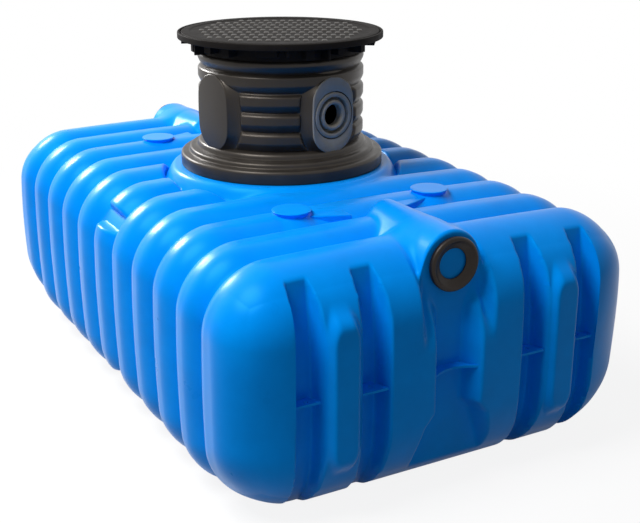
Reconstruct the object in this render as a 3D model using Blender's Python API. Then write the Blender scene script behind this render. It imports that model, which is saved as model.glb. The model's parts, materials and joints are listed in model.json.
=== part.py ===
"""Underground rainwater tank: a flat, ribbed polyethylene shell with a round access shaft on top.

Frame, in metres: +Z up, X across the tank, Y along it. The origin is on the ground under the middle of the
tank, and the inlet end that carries the pipe seal nearest the viewer faces -Y.

The shell of the real tank is one hollow moulding. Here it is cut along its grooves into two ends, two side
walls, a floor and three roof panels, which meet with a fine seam. Every panel takes its shape from the same
functions: a box with rounded edges, crossed by rounded ribs.
"""

import math

import bmesh
import bpy
import numpy as np
from mathutils import Matrix, Vector

# Tank shell
RIB_PITCH = 0.200
RIB_COUNT = 9
RIB_DEPTH = 0.046
CAP_LENGTH = 0.316
TANK_WIDTH = 1.540
TANK_HEIGHT = 0.820
WALL = 0.009
TOP_EDGE_RADIUS = 0.235
TOP_CAP_RADIUS = 0.255
BOTTOM_EDGE_RADIUS = 0.190
BOTTOM_CAP_RADIUS = 0.265
CAP_ROUNDING_BEFORE = 0.040
CAP_ROUNDING_AFTER = 0.160
END_EDGE_TOP = 0.200
END_EDGE_MIDDLE = 0.155
SIDE_CROWN = 0.018
TOP_CROWN = 0.016
END_CROWN = 0.024
SEAM_GAP = 0.0003
RIB_FLAT = 0.010
OVERRUN = 0.020

# Upright flutes moulded into each end; their floors lean back towards top and foot
FLUTE_DEPTH = 0.078
FLUTE_LEAN = 0.090
FLUTE_FLANK = 0.030
FLUTE_WIDTH = 0.104
FLUTE_SPACING = 0.220
OUTER_FLUTE_INSET = 0.232
FLUTE_FOOT_Z = 0.020
FLUTE_TOP_DROP = 0.020

# Flat upright rib between the two flutes on each side of an end
END_RIB_PROUD = 0.014
END_RIB_BOTTOM = 0.175
END_RIB_TOP_DROP = 0.210
END_RIB_SLOPE = 1.15
END_RIB_BEVEL = 0.008
END_RIB_BEVEL_DEPTH = 0.020

# Pipe channel down the middle of each end
CHANNEL_DEPTH = 0.072
CHANNEL_FLANK = 0.054
CHANNEL_TOP_HALF = 0.158
CHANNEL_WAIST_HALF = 0.094
CHANNEL_FOOT_HALF = 0.172
CHANNEL_FOOT_Z = 0.190
CHANNEL_FOOT_RISE = 0.072
CHANNEL_SHOULDER_DROP = 0.122
CHANNEL_SHOULDER_RISE = 0.070

# Webs left in the flutes at the mould's parting line
WEB_Z = 0.412
WEB_THICKNESS = 0.008
WEB_SETBACK = 0.010
WEB_CLEARANCE = 0.0006
WEB_HOLE_RADIUS = 0.007
WEB_MIDDLE_ARCH = 0.030

# Raised pipe housing above each end, its round seat and the seal on it
PIPE_DROP = 0.062
HOUSING_RADIUS = 0.1065
HOUSING_PROUD = 0.004
SEAT_RADIUS = 0.098
SEAT_PROUD = 0.003
SEAL_OUTER_RADIUS = 0.0885
SEAL_BORE_RADIUS = 0.055
SEAL_LIP_RADIUS = 0.050
SEAL_DEPTH = 0.024
SEAL_BEAD_Z = 0.008
SEAL_FOOT_INSET = 0.003
SEAL_FUNNEL = 0.006
SEAL_FUNNEL_Z = 0.019
SEAL_LIP_Z = (0.007, 0.011)

# Low ridge that carries the housing's form on over the last rib
RIDGE_HALF = 0.081
RIDGE_TAPER = 0.030
RIDGE_LENGTH = 0.195
RIDGE_END = 0.060

# Stacking pads on the roof and the ledges beside them
PAD_RADIUS = 0.070
PAD_STEM_RADIUS = 0.046
PAD_X = 0.276
PAD_RIB = 3
PAD_OFFSET = 0.012
PAD_RISE = 0.010
PAD_THICKNESS = 0.014
PAD_SIDE = 0.060
LEDGE_DROP = 0.007
LEDGE_HEIGHT = 0.046
LEDGE_NEAR_X = 0.075
LEDGE_CORNER_X = 0.110
LEDGE_FRONT = 0.110
LEDGE_FRONT_FALL = 0.060

# Round collar that carries the shaft, and the moat round it in which the ribs end
COLLAR_RISE = 0.012
COLLAR_TOP_RADIUS = 0.422
COLLAR_SPREAD = 0.028
RIB_STOP_RADIUS = 0.459
MOAT_CLEARANCE = 0.002
SLAB = 0.060
MANHOLE_RADIUS = 0.288

# Lashing notch in the middle rib at each top edge of the tank
NOTCH_RIB = 0
NOTCH_TOP_DROP = 0.050
NOTCH_HEIGHT = 0.078
NOTCH_FLANK = 0.008

# Access shaft
SHAFT_RADIUS = 0.314
SHAFT_BORE_RADIUS = 0.292
SHAFT_RIB_COUNT = 5
SHAFT_FULL_RIBS = 2
SHAFT_RIB_PITCH = 0.0705
SHAFT_RIB_DEPTH = 0.014
SHAFT_RIB_FLANK = 0.013
SHAFT_TURN = math.radians(10)
FOOT_RADIUS = 0.388
FOOT_HEIGHT = 0.076
FOOT_RIM = 0.044
FOOT_EDGE = 0.012
FOOT_STEP_EDGE = 0.008
FOOT_STEP_WIDTH = 0.036
FOOT_STEP_RISE = 0.018
FOOT_NECK = 0.012
PAD_FACE = 0.316
PORT_HALF_WIDTH = 0.095
PORT_HALF_HEIGHT = 0.140
PORT_COUNT = 4
PORT_PLATE = 0.030
PORT_RISE = 0.150
PORT_HOLE_RADIUS = 0.060
RIB_END_GAP = math.radians(4)
RIB_END_TAPER = math.radians(4)

# Lid and the frame it lies in
FRAME_RADIUS = 0.386
FRAME_SLEEVE_RADIUS = 0.316
FRAME_SLEEVE_WALL = 0.018
FRAME_PLATE = 0.009
FRAME_HEIGHT = 0.072
FRAME_RIM = 0.009
FRAME_CHAMFER = 0.003
LID_THICKNESS = 0.014
LID_CLEARANCE = 0.005
LID_CHAMFER = 0.003
LID_SPIGOT_CLEARANCE = 0.012
LID_SPIGOT = 0.022

# Brackets under the frame's plate on each quarter: turn in degrees, width, drop and reach beyond the sleeve
BRACKETS = (
    (-45, 0.075, 0.028, 0.036),
    (-33, 0.010, 0.026, 0.052),
    (-19, 0.034, 0.044, 0.024),
    (-8, 0.008, 0.046, 0.036),
    (3, 0.038, 0.034, 0.024),
    (20, 0.030, 0.036, 0.036),
)

# Steps of the round forms, and where the panels' grids bend, as shares of a rib's pitch
ROUND_STEPS = 48
HOUSING_STEPS = 28
SMALL_STEPS = 12
OUTER_SHARES = (0.0, 0.15, 0.3, 0.45, 0.55, 0.7, 0.85)
INNER_SHARES = (0.0, 0.5)

BARREL_HALF = RIB_COUNT * RIB_PITCH / 2
END_Y = BARREL_HALF + CAP_LENGTH
CHANNEL_Y = END_Y - CHANNEL_DEPTH
HOUSING_Y = CHANNEL_Y + HOUSING_PROUD
PIPE_Z = TANK_HEIGHT - PIPE_DROP
COLLAR_Z = TANK_HEIGHT + COLLAR_RISE
MOAT_Z = TANK_HEIGHT - RIB_DEPTH - MOAT_CLEARANCE
PAD_Y = PAD_RIB * RIB_PITCH + PAD_OFFSET
PAD_Z = TANK_HEIGHT + PAD_RISE
DECK_HALF = 2.5 * RIB_PITCH
SHAFT_Z = COLLAR_Z + FOOT_HEIGHT
SHAFT_TOP_Z = SHAFT_Z + SHAFT_RIB_COUNT * SHAFT_RIB_PITCH
FRAME_Z = SHAFT_TOP_Z + SEAM_GAP
LID_TOP_Z = FRAME_Z + FRAME_HEIGHT
LID_Z = LID_TOP_Z - LID_THICKNESS
FRAME_BORE_RADIUS = FRAME_SLEEVE_RADIUS - FRAME_SLEEVE_WALL
LID_SPIGOT_RADIUS = FRAME_BORE_RADIUS - LID_SPIGOT_CLEARANCE
PORT_Z = SHAFT_Z + PORT_RISE

# Box that the shell's edges are rounded from, without its crowns
BOX_HALF_WIDTH = TANK_WIDTH / 2 - SIDE_CROWN
BOX_HALF_LENGTH = END_Y - END_CROWN
BOX_HEIGHT = TANK_HEIGHT - TOP_CROWN
OUTER_FLUTE_X = BOX_HALF_WIDTH - OUTER_FLUTE_INSET
INNER_FLUTE_X = OUTER_FLUTE_X - FLUTE_SPACING
END_RIB_X = (INNER_FLUTE_X + OUTER_FLUTE_X) / 2
END_RIB_HALF = (FLUTE_SPACING - FLUTE_WIDTH) / 2
END_RIB_TOP = TANK_HEIGHT - END_RIB_TOP_DROP
NOTCH_TOP_Z = TANK_HEIGHT - NOTCH_TOP_DROP
NOTCH_LOW_Z = NOTCH_TOP_Z - NOTCH_HEIGHT


def clear_scene():
    for old in list(bpy.data.objects):
        bpy.data.objects.remove(old)


def material(name, colour, roughness):
    made = bpy.data.materials.new(name)
    made.use_nodes = True
    shader = made.node_tree.nodes["Principled BSDF"]
    shader.inputs["Base Color"].default_value = (*colour, 1.0)
    shader.inputs["Roughness"].default_value = roughness
    shader.inputs["Metallic"].default_value = 0.0
    return made


def object_from(name, bm, finish):
    """A scene object from a bmesh, with its faces turned outwards and its curved faces shaded smooth."""
    bmesh.ops.recalc_face_normals(bm, faces=bm.faces)
    mesh = bpy.data.meshes.new(name)
    bm.to_mesh(mesh)
    bm.free()
    mesh.materials.append(finish)
    mesh.shade_smooth()
    mesh.set_sharp_from_angle(angle=math.radians(35))
    made = bpy.data.objects.new(name, mesh)
    bpy.context.scene.collection.objects.link(made)
    return made


def hide_tool(tool):
    tool.hide_render = True
    tool.display_type = "WIRE"
    return tool


def boolean(target, tool, operation, solver="EXACT"):
    """Joins the tool to the target, or cuts it away, and hides the tool."""
    change = target.modifiers.new(operation.lower() + "_" + tool.name, "BOOLEAN")
    change.operation = operation
    change.solver = solver
    change.object = hide_tool(tool)


def smooth_step(low, high, value):
    share = np.clip((value - low) / (high - low), 0.0, 1.0)
    return share * share * (3 - 2 * share)


def groove_depth(y):
    """How far the shell lies inside its ribs' crowns at a place along the tank."""
    from_crown = np.abs(np.mod(y / RIB_PITCH + RIB_COUNT / 2, 1.0) - 0.5) * 2
    flat = 2 * RIB_FLAT / RIB_PITCH
    off_flat = np.clip((from_crown - flat) / (1 - flat), 0.0, 1.0)
    barrel = RIB_DEPTH * off_flat**2
    past_seam = np.clip((np.abs(y) - BARREL_HALF) / (RIB_PITCH / 2), 0.0, 1.0)
    cap = RIB_DEPTH * (1 - past_seam) ** 2
    return np.where(np.abs(y) < BARREL_HALF, barrel, cap)


def envelope(box_points):
    """Moves points of a plain box to the rounded, crowned shape that the ribs' crowns touch.

    It also returns each point's outward direction in the tank's cross-section.
    """
    x, y, z = np.asarray(box_points, float).T
    at_cap = smooth_step(BARREL_HALF - CAP_ROUNDING_BEFORE, BARREL_HALF + CAP_ROUNDING_AFTER, np.abs(y))
    top_radius = TOP_EDGE_RADIUS + (TOP_CAP_RADIUS - TOP_EDGE_RADIUS) * at_cap
    bottom_radius = BOTTOM_EDGE_RADIUS + (BOTTOM_CAP_RADIUS - BOTTOM_EDGE_RADIUS) * at_cap
    upward = smooth_step(bottom_radius, BOX_HEIGHT - top_radius, z)
    side_radius = bottom_radius + (top_radius - bottom_radius) * upward
    level_radius = np.where(z > BOX_HEIGHT / 2, top_radius, bottom_radius)
    off_middle = 2 * z / BOX_HEIGHT - 1
    end_depth = END_EDGE_MIDDLE + (END_EDGE_TOP - END_EDGE_MIDDLE) * off_middle**2
    radii = np.stack([side_radius, end_depth, level_radius], 1)
    core = np.stack(
        [
            np.clip(x, side_radius - BOX_HALF_WIDTH, BOX_HALF_WIDTH - side_radius),
            np.clip(y, end_depth - BOX_HALF_LENGTH, BOX_HALF_LENGTH - end_depth),
            np.clip(z, bottom_radius, BOX_HEIGHT - top_radius),
        ],
        1,
    )
    reach = (np.stack([x, y, z], 1) - core) / radii
    reach /= np.linalg.norm(reach, axis=1, keepdims=True)
    points = core + radii * reach
    across = points[:, 0] / BOX_HALF_WIDTH
    along = points[:, 1] / BOX_HALF_LENGTH
    height = points[:, 2] / BOX_HEIGHT
    mid_height = 1 - (2 * height - 1) ** 2
    points[:, 0] += np.sign(across) * SIDE_CROWN * across**4 * mid_height
    points[:, 1] += np.sign(along) * END_CROWN * along**8 * (1 - across**2) * mid_height
    points[:, 2] += TOP_CROWN * height**8 * (1 - across**2)
    outward = reach[:, [0, 2]]
    size = np.linalg.norm(outward, axis=1, keepdims=True)
    return points, outward / np.maximum(size, 1e-9)


def in_notch(y, z):
    """Where the middle rib is left out, near the top edges of the tank's sides."""
    beside = np.abs(y - NOTCH_RIB * RIB_PITCH) < RIB_PITCH / 2
    return beside & (z > NOTCH_LOW_Z) & (z < NOTCH_TOP_Z)


def shell_points(box_points, inset=0.0):
    """Points on the ribbed shell, or the inset below it."""
    points, outward = envelope(box_points)
    y, z = points[:, 1], points[:, 2]
    notched = in_notch(y, z) & (np.abs(outward[:, 0]) > 0.1)
    depth = np.where(notched, RIB_DEPTH, groove_depth(np.asarray(box_points, float)[:, 1]))
    points[:, [0, 2]] -= outward * (depth + inset)[:, None]
    return points


def channel_half_width(z):
    """Half the width of the pipe channel's mouth: wide at the pipe and the foot, narrow at the waist."""
    top = PIPE_Z - CHANNEL_SHOULDER_DROP
    heights = [CHANNEL_FOOT_Z, CHANNEL_FOOT_Z + CHANNEL_FOOT_RISE, top - CHANNEL_SHOULDER_RISE, top]
    halves = [CHANNEL_FOOT_HALF, CHANNEL_WAIST_HALF, CHANNEL_WAIST_HALF, CHANNEL_TOP_HALF]
    return np.interp(z, heights, halves)


def flute_depth(z):
    """How far a flute's floor lies behind the foremost plane of an end."""
    top = TANK_HEIGHT - FLUTE_TOP_DROP
    from_middle = (2 * z - top - FLUTE_FOOT_Z) / (top - FLUTE_FOOT_Z)
    return FLUTE_DEPTH + FLUTE_LEAN * from_middle**4


def end_recess(x, z):
    """How deep flutes and pipe channel lie behind the foremost plane of an end."""
    x = np.abs(x)
    channel = CHANNEL_DEPTH * np.clip((channel_half_width(z) - x) / CHANNEL_FLANK, 0, 1)
    flutes = [
        flute_depth(z) * np.clip((FLUTE_WIDTH / 2 - np.abs(x - middle)) / FLUTE_FLANK, 0, 1)
        for middle in (INNER_FLUTE_X, OUTER_FLUTE_X)
    ]
    return np.maximum(channel, np.maximum(*flutes))


def end_rib(x, z):
    """The foremost plane of the flat upright ribs, which slopes back at their tops, feet and flanks."""
    past_end = np.maximum(z - END_RIB_TOP, END_RIB_BOTTOM - z)
    beside = np.abs(np.abs(x) - END_RIB_X) - (END_RIB_HALF - END_RIB_BEVEL)
    back = END_RIB_SLOPE * np.clip(past_end, 0.0, None)
    back += END_RIB_BEVEL_DEPTH / END_RIB_BEVEL * np.clip(beside, 0.0, None)
    return END_Y + END_RIB_PROUD - back


def end_points(box_points):
    """Points of an end's face, with its flutes, ribs and pipe channel."""
    points = shell_points(box_points)
    x, y, z = points.T
    reach = np.maximum(np.abs(y), end_rib(x, z))
    recess = end_recess(x, z)
    reach = np.where(recess > 0, np.minimum(reach, END_Y - recess), reach)
    points[:, 1] = np.sign(y) * reach
    return points


def mirrored(halves):
    return sorted({-value for value in halves} | set(halves))


def end_columns():
    """Places across the tank where an end's outer face bends."""
    flutes = []
    for middle in (INNER_FLUTE_X, OUTER_FLUTE_X):
        mouth = FLUTE_WIDTH / 2
        flutes += [middle + side * edge for side in (-1, 1) for edge in (mouth, mouth - FLUTE_FLANK)]
    flat_half = END_RIB_HALF - END_RIB_BEVEL
    rib = [END_RIB_X - flat_half, END_RIB_X + flat_half]
    waist_floor = CHANNEL_WAIST_HALF - CHANNEL_FLANK
    top_floor = CHANNEL_TOP_HALF - CHANNEL_FLANK
    channel = [0.0, waist_floor, CHANNEL_WAIST_HALF, top_floor, CHANNEL_TOP_HALF, CHANNEL_FOOT_HALF]
    edge_start = BOX_HALF_WIDTH - BOTTOM_CAP_RADIUS / 2
    edge = [edge_start, (edge_start + BOX_HALF_WIDTH) / 2, BOX_HALF_WIDTH]
    return mirrored(channel + flutes + rib + edge)


def end_rows():
    """Heights where an end's outer face bends."""
    rib_end = END_RIB_PROUD / END_RIB_SLOPE
    channel_top = PIPE_Z - CHANNEL_SHOULDER_DROP
    below = [0.0, CHANNEL_FOOT_Z / 3, CHANNEL_FOOT_Z * 2 / 3, END_RIB_BOTTOM, CHANNEL_FOOT_Z]
    middle = [CHANNEL_FOOT_Z + CHANNEL_FOOT_RISE, WEB_Z - WEB_THICKNESS, WEB_Z + WEB_THICKNESS]
    shoulder = [channel_top - CHANNEL_SHOULDER_RISE, END_RIB_TOP, channel_top, END_RIB_TOP + 4 * rib_end]
    edge = channel_top + (BOX_HEIGHT - channel_top) / 2
    return sorted(below + middle + shoulder + [edge, (edge + BOX_HEIGHT) / 2, BOX_HEIGHT])


def outline_of_box(columns, rows):
    """The box's cross-section as a closed loop of (x, z), anticlockwise from the bottom left corner."""
    low, high = rows[0], rows[-1]
    left, right = columns[0], columns[-1]
    loop = [(x, low) for x in columns[:-1]]
    loop += [(right, z) for z in rows[:-1]]
    loop += [(x, high) for x in columns[:0:-1]]
    loop += [(left, z) for z in rows[:0:-1]]
    return loop


def cap_mesh(side, columns, rows, stations, place_ring, place_face):
    """A closed, bowl-shaped end of the box: rings along the stations, then the face's grid."""
    bm = bmesh.new()
    loop = outline_of_box(columns, rows)
    rings = []
    for station in stations:
        points = place_ring([(x, side * station, z) for x, z in loop])
        rings.append([bm.verts.new(point) for point in points])
    corner = dict(zip(loop, rings[-1]))
    face_y = side * stations[-1]
    grid_points = place_face([(x, face_y, z) for z in rows for x in columns])
    grid = {}
    for index, (z, x) in enumerate((z, x) for z in rows for x in columns):
        grid[x, z] = corner.get((x, z)) or bm.verts.new(grid_points[index])
    for near, far in zip(rings, rings[1:]):
        for index in range(len(loop)):
            after = (index + 1) % len(loop)
            bm.faces.new([near[index], near[after], far[after], far[index]])
    for low, high in zip(rows, rows[1:]):
        for left, right in zip(columns, columns[1:]):
            bm.faces.new([grid[left, low], grid[right, low], grid[right, high], grid[left, high]])
    bm.faces.new(rings[0])
    return bm


def cap_stations():
    """Places along the tank where an end's rim bends, measured from the tank's middle."""
    start = BARREL_HALF - OVERRUN
    crown = BARREL_HALF + RIB_PITCH / 2
    edge = BOX_HALF_LENGTH - END_EDGE_MIDDLE
    bends = [start, BARREL_HALF, BARREL_HALF + RIB_PITCH / 8, BARREL_HALF + RIB_PITCH / 4, crown]
    bends += [edge + END_EDGE_MIDDLE * share for share in (0.15, 0.45, 0.75)]
    return sorted(bends) + [BOX_HALF_LENGTH]


def coarse_hollow(name, side, inset, finish):
    """Cutter for the inside of an end: the plain rounded box, set in from the shell."""
    columns = [share * BOX_HALF_WIDTH for share in (-1, -0.8, -0.6, 0, 0.6, 0.8, 1)]
    rows = [share * BOX_HEIGHT for share in (0, 0.15, 0.35, 0.7, 0.85, 1)]
    front = max(CHANNEL_DEPTH, FLUTE_DEPTH) + WALL

    def place(box_points):
        points, outward = envelope(box_points)
        points[:, [0, 2]] -= outward * inset
        points[:, 1] *= (END_Y - front) / END_Y
        return points

    stations = [BARREL_HALF - 2 * OVERRUN, BOX_HALF_LENGTH - END_EDGE_TOP]
    stations += [BOX_HALF_LENGTH - END_EDGE_TOP / 2, BOX_HALF_LENGTH]
    return object_from(name, cap_mesh(side, columns, rows, stations, place, place), finish)


def turned(profile, steps=ROUND_STEPS):
    """A closed ring or disc from a profile of (radius, height), turned about +Z."""
    bm = bmesh.new()
    rings = []
    for radius, height in profile:
        if radius < 1e-6:
            rings.append([bm.verts.new((0, 0, height))] * steps)
            continue
        turns = [2 * math.pi * step / steps for step in range(steps)]
        rings.append([bm.verts.new((radius * math.cos(t), radius * math.sin(t), height)) for t in turns])
    pairs = list(zip(rings, rings[1:] + rings[:1]))
    for low, high in pairs:
        for step in range(steps):
            after = (step + 1) % steps
            corners = list(dict.fromkeys([low[step], low[after], high[after], high[step]]))
            if len(corners) > 2:
                bm.faces.new(corners)
    return bm


def arc(centre, radius, start, stop, count):
    """Points of (radius, height) on a round stretch of a profile, with its ends, in degrees."""
    angles = np.radians(np.linspace(start, stop, count))
    return [(centre[0] + radius * math.cos(a), centre[1] + radius * math.sin(a)) for a in angles]


def lying(bm, y, z, side=-1):
    """Turns a shape from +Z to the outward direction of an end, and sets it on that end's pipe axis."""
    turn = Matrix.Rotation(math.radians(90 if side < 0 else -90), 4, "X")
    bmesh.ops.transform(bm, matrix=Matrix.Translation((0, y, z)) @ turn, verts=bm.verts)
    return bm


def box_tool(name, low, high, finish):
    """A plain box between two corners, used to cut with."""
    bm = bmesh.new()
    bmesh.ops.create_cube(bm, size=1.0)
    size = [top - bottom for bottom, top in zip(low, high)]
    middle = [(top + bottom) / 2 for bottom, top in zip(low, high)]
    bmesh.ops.transform(bm, matrix=Matrix.Translation(middle) @ Matrix.Diagonal((*size, 1)), verts=bm.verts)
    return object_from(name, bm, finish)


def trim(target, low_y, high_y, finish):
    """Cuts away all that lies between two places along the tank."""
    reach = 2 * TANK_WIDTH
    tool = box_tool(target.name + "_trim", (-reach, low_y, -reach), (reach, high_y, reach), finish)
    boolean(target, tool, "DIFFERENCE", "MANIFOLD")


def lying_cylinder(name, radius, near, far, finish):
    """A cylinder on an end's pipe axis, between two places along the tank."""
    length = abs(near) - abs(far)
    profile = [(0.0, -length), (radius, -length), (radius, 0.0), (0.0, 0.0)]
    side = math.copysign(1, near)
    return object_from(name, lying(turned(profile, HOUSING_STEPS), near, PIPE_Z, side), finish)


def tank_end(name, side, finish):
    """One end of the tank: a bowl with flutes, ribs, pipe channel, pipe housing and seal seat."""
    bm = cap_mesh(side, end_columns(), end_rows(), cap_stations(), shell_points, end_points)
    end = object_from(name, bm, finish)
    past_seam = side * (BARREL_HALF - 2 * OVERRUN)
    seat_front = side * (HOUSING_Y + SEAT_PROUD)
    cover = lying_cylinder(name + "_housing", HOUSING_RADIUS, side * HOUSING_Y, past_seam, finish)
    seat = lying_cylinder(name + "_seat", SEAT_RADIUS, seat_front, side * (CHANNEL_Y - WALL / 2), finish)
    boolean(end, cover, "UNION", "MANIFOLD")
    boolean(end, seat, "UNION", "MANIFOLD")
    boolean(end, coarse_hollow(name + "_hollow", side, RIB_DEPTH + WALL, finish), "DIFFERENCE", "MANIFOLD")
    inside = side * (CHANNEL_Y - WALL)
    past_cover = side * (BARREL_HALF - 3 * OVERRUN)
    pipe_room = lying_cylinder(name + "_pipe_room", HOUSING_RADIUS - WALL, inside, past_cover, finish)
    boolean(end, pipe_room, "DIFFERENCE", "MANIFOLD")
    trim(end, *sorted((0.0, side * (BARREL_HALF + SEAM_GAP / 2))), finish)
    return end


def panel_mesh(outer_path, inner_path, outer_ys, inner_ys, outer_inset=0.0, inner_inset=WALL):
    """A ribbed wall between two stretches of the box's cross-section, given as lists of (x, z)."""
    bm = bmesh.new()

    def sheet(path, ys, inset):
        points = shell_points([(x, y, z) for y in ys for x, z in path], inset)
        verts = [bm.verts.new(point) for point in points]
        rows = [verts[i * len(path) : (i + 1) * len(path)] for i in range(len(ys))]
        for near, far in zip(rows, rows[1:]):
            for i in range(len(path) - 1):
                bm.faces.new([near[i], near[i + 1], far[i + 1], far[i]])
        return rows

    outer = sheet(outer_path, outer_ys, outer_inset)
    inner = sheet(inner_path, inner_ys, inner_inset)
    for end in (0, -1):
        bm.faces.new(outer[end] + inner[end][::-1])
        bm.faces.new([row[end] for row in outer] + [row[end] for row in inner][::-1])
    return bm


def rib_stations(start, stop, shares):
    """Places along the tank between two grooves, at the same shares of every rib."""
    count = round((stop - start) / RIB_PITCH)
    places = [start + RIB_PITCH * (rib + share) for rib in range(count) for share in shares]
    return [start + SEAM_GAP / 2, *places[1:], stop - SEAM_GAP / 2]


def notch_bends():
    """Where the notch begins and ends on the box: heights up its side, then places across its top."""
    centre_x, centre_z = BOX_HALF_WIDTH - TOP_EDGE_RADIUS, BOX_HEIGHT - TOP_EDGE_RADIUS
    low = math.asin((NOTCH_LOW_Z - centre_z) / TOP_EDGE_RADIUS)
    high = math.acos((NOTCH_TOP_Z - centre_z) / TOP_EDGE_RADIUS)
    up_side = centre_z + TOP_EDGE_RADIUS * math.tan(low)
    across = centre_x + TOP_EDGE_RADIUS * math.tan(high)
    half = NOTCH_FLANK / 2
    return [up_side - half, up_side + half], [across - half, across + half]


def roof_path(count, height, notched=False):
    """Places across the roof or the floor of the box, closest together where its edges turn."""
    radius = TOP_EDGE_RADIUS if height > 0 else BOTTOM_EDGE_RADIUS
    turn = BOX_HALF_WIDTH - radius
    flat = [turn * share for share in np.linspace(-1, 1, count)]
    bends = notch_bends()[1] if notched else [turn + radius * share for share in (0.4, 0.75)]
    corner = bends + [BOX_HALF_WIDTH - SEAM_GAP]
    return [(x, height) for x in [-c for c in corner[::-1]] + flat + corner]


def side_path(x, count):
    """Places up a side of the box, closest together where its edges turn."""
    low, high = BOTTOM_EDGE_RADIUS, BOX_HEIGHT - TOP_EDGE_RADIUS
    flat = list(np.linspace(low, high, count))
    below = [SEAM_GAP, low * 0.25, low * 0.6]
    above = notch_bends()[0] + [BOX_HEIGHT - SEAM_GAP]
    return [(x, z) for z in below + flat + above]


def wall_panel(name, outer_path, inner_path, finish):
    """A ribbed panel that runs from one end of the tank to the other."""
    outer = rib_stations(-BARREL_HALF, BARREL_HALF, OUTER_SHARES)
    inner = rib_stations(-BARREL_HALF, BARREL_HALF, INNER_SHARES)
    return object_from(name, panel_mesh(outer_path, inner_path, outer, inner), finish)


def ridge_mesh(side, inset):
    """The ridge over the last rib: half-round sections that narrow behind the seam and then sink."""
    full, half = HOUSING_RADIUS - inset, RIDGE_HALF - inset
    taper = BARREL_HALF - RIDGE_TAPER
    back = BARREL_HALF - RIDGE_LENGTH + inset
    sections = [(BARREL_HALF + 2 * OVERRUN, full, full), (BARREL_HALF, full, full), (taper, half, full)]
    for degrees in (0, 35, 65, 85):
        turn = math.radians(degrees)
        place = back + RIDGE_END * (1 - math.sin(turn))
        sections.append((place, half * math.cos(turn / 2), full * math.cos(turn / 2)))
    bm = bmesh.new()
    rings = []
    for place, across, rise in sections:
        turns = [math.pi * step / SMALL_STEPS for step in range(SMALL_STEPS + 1)]
        ring = [(across * math.cos(t), side * place, PIPE_Z + rise * math.sin(t)) for t in turns]
        rings.append([bm.verts.new(point) for point in ring])
    for near, far in zip(rings, rings[1:]):
        for i in range(len(near)):
            after = (i + 1) % len(near)
            bm.faces.new([near[i], near[after], far[after], far[i]])
    bm.faces.new(rings[0])
    bm.faces.new(rings[-1])
    return bm


def stacking_pad(roof, end_side, side, finish):
    """Joins a flat round pad on its stem to a roof panel."""
    low, under = PAD_Z - PAD_SIDE, PAD_Z - PAD_THICKNESS
    stem = [(0, low), (PAD_STEM_RADIUS, low), (PAD_STEM_RADIUS, under)]
    pad = turned(stem + [(PAD_RADIUS, under), (PAD_RADIUS, PAD_Z), (0, PAD_Z)], 2 * SMALL_STEPS)
    bmesh.ops.translate(pad, verts=pad.verts, vec=(side * PAD_X, end_side * PAD_Y, 0))
    boolean(roof, object_from(f"{roof.name}_pad_{side}", pad, finish), "UNION", "MANIFOLD")


def ledge(roof, end_side, side, finish):
    """Joins the level ledge that fills the groove between a pad and the ridge."""
    back = PAD_RIB * RIB_PITCH
    front = PAD_Y + LEDGE_FRONT
    outline = [
        (LEDGE_NEAR_X, back),
        (PAD_X, back),
        (PAD_X, front - LEDGE_FRONT_FALL),
        (LEDGE_CORNER_X, front),
        (LEDGE_NEAR_X, front),
    ]
    outline = [(side * x, end_side * y) for x, y in outline]
    top = TANK_HEIGHT - LEDGE_DROP
    tool = plate(f"{roof.name}_ledge_{side}", outline, top - LEDGE_HEIGHT, top, finish)
    boolean(roof, tool, "UNION", "MANIFOLD")


def roof_panel(name, side, finish):
    """A roof panel between an end and the deck, with the ridge, the stacking pads and their ledges."""
    place_low, place_high = sorted((side * BARREL_HALF, side * DECK_HALF))
    past_seam = [side * (BARREL_HALF + OVERRUN)]
    outer = sorted(rib_stations(place_low, place_high, OUTER_SHARES) + past_seam)
    inner = sorted(rib_stations(place_low, place_high, INNER_SHARES) + past_seam)
    bm = panel_mesh(roof_path(9, BOX_HEIGHT), roof_path(4, BOX_HEIGHT), outer, inner)
    roof = object_from(name, bm, finish)
    boolean(roof, object_from(name + "_ridge", ridge_mesh(side, 0.0), finish), "UNION", "MANIFOLD")
    for across in (-1, 1):
        ledge(roof, side, across, finish)
    room = object_from(name + "_ridge_room", ridge_mesh(side, WALL), finish)
    boolean(roof, room, "DIFFERENCE", "MANIFOLD")
    for across in (-1, 1):
        stacking_pad(roof, side, across, finish)
    trim(roof, *sorted((side * (BARREL_HALF - SEAM_GAP / 2), side * 2 * END_Y)), finish)
    return roof


def cylinder(name, radius, low, high, finish):
    """An upright cylinder on the shaft's axis, used to cut with."""
    return object_from(name, turned([(0, low), (radius, low), (radius, high), (0, high)]), finish)


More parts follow.
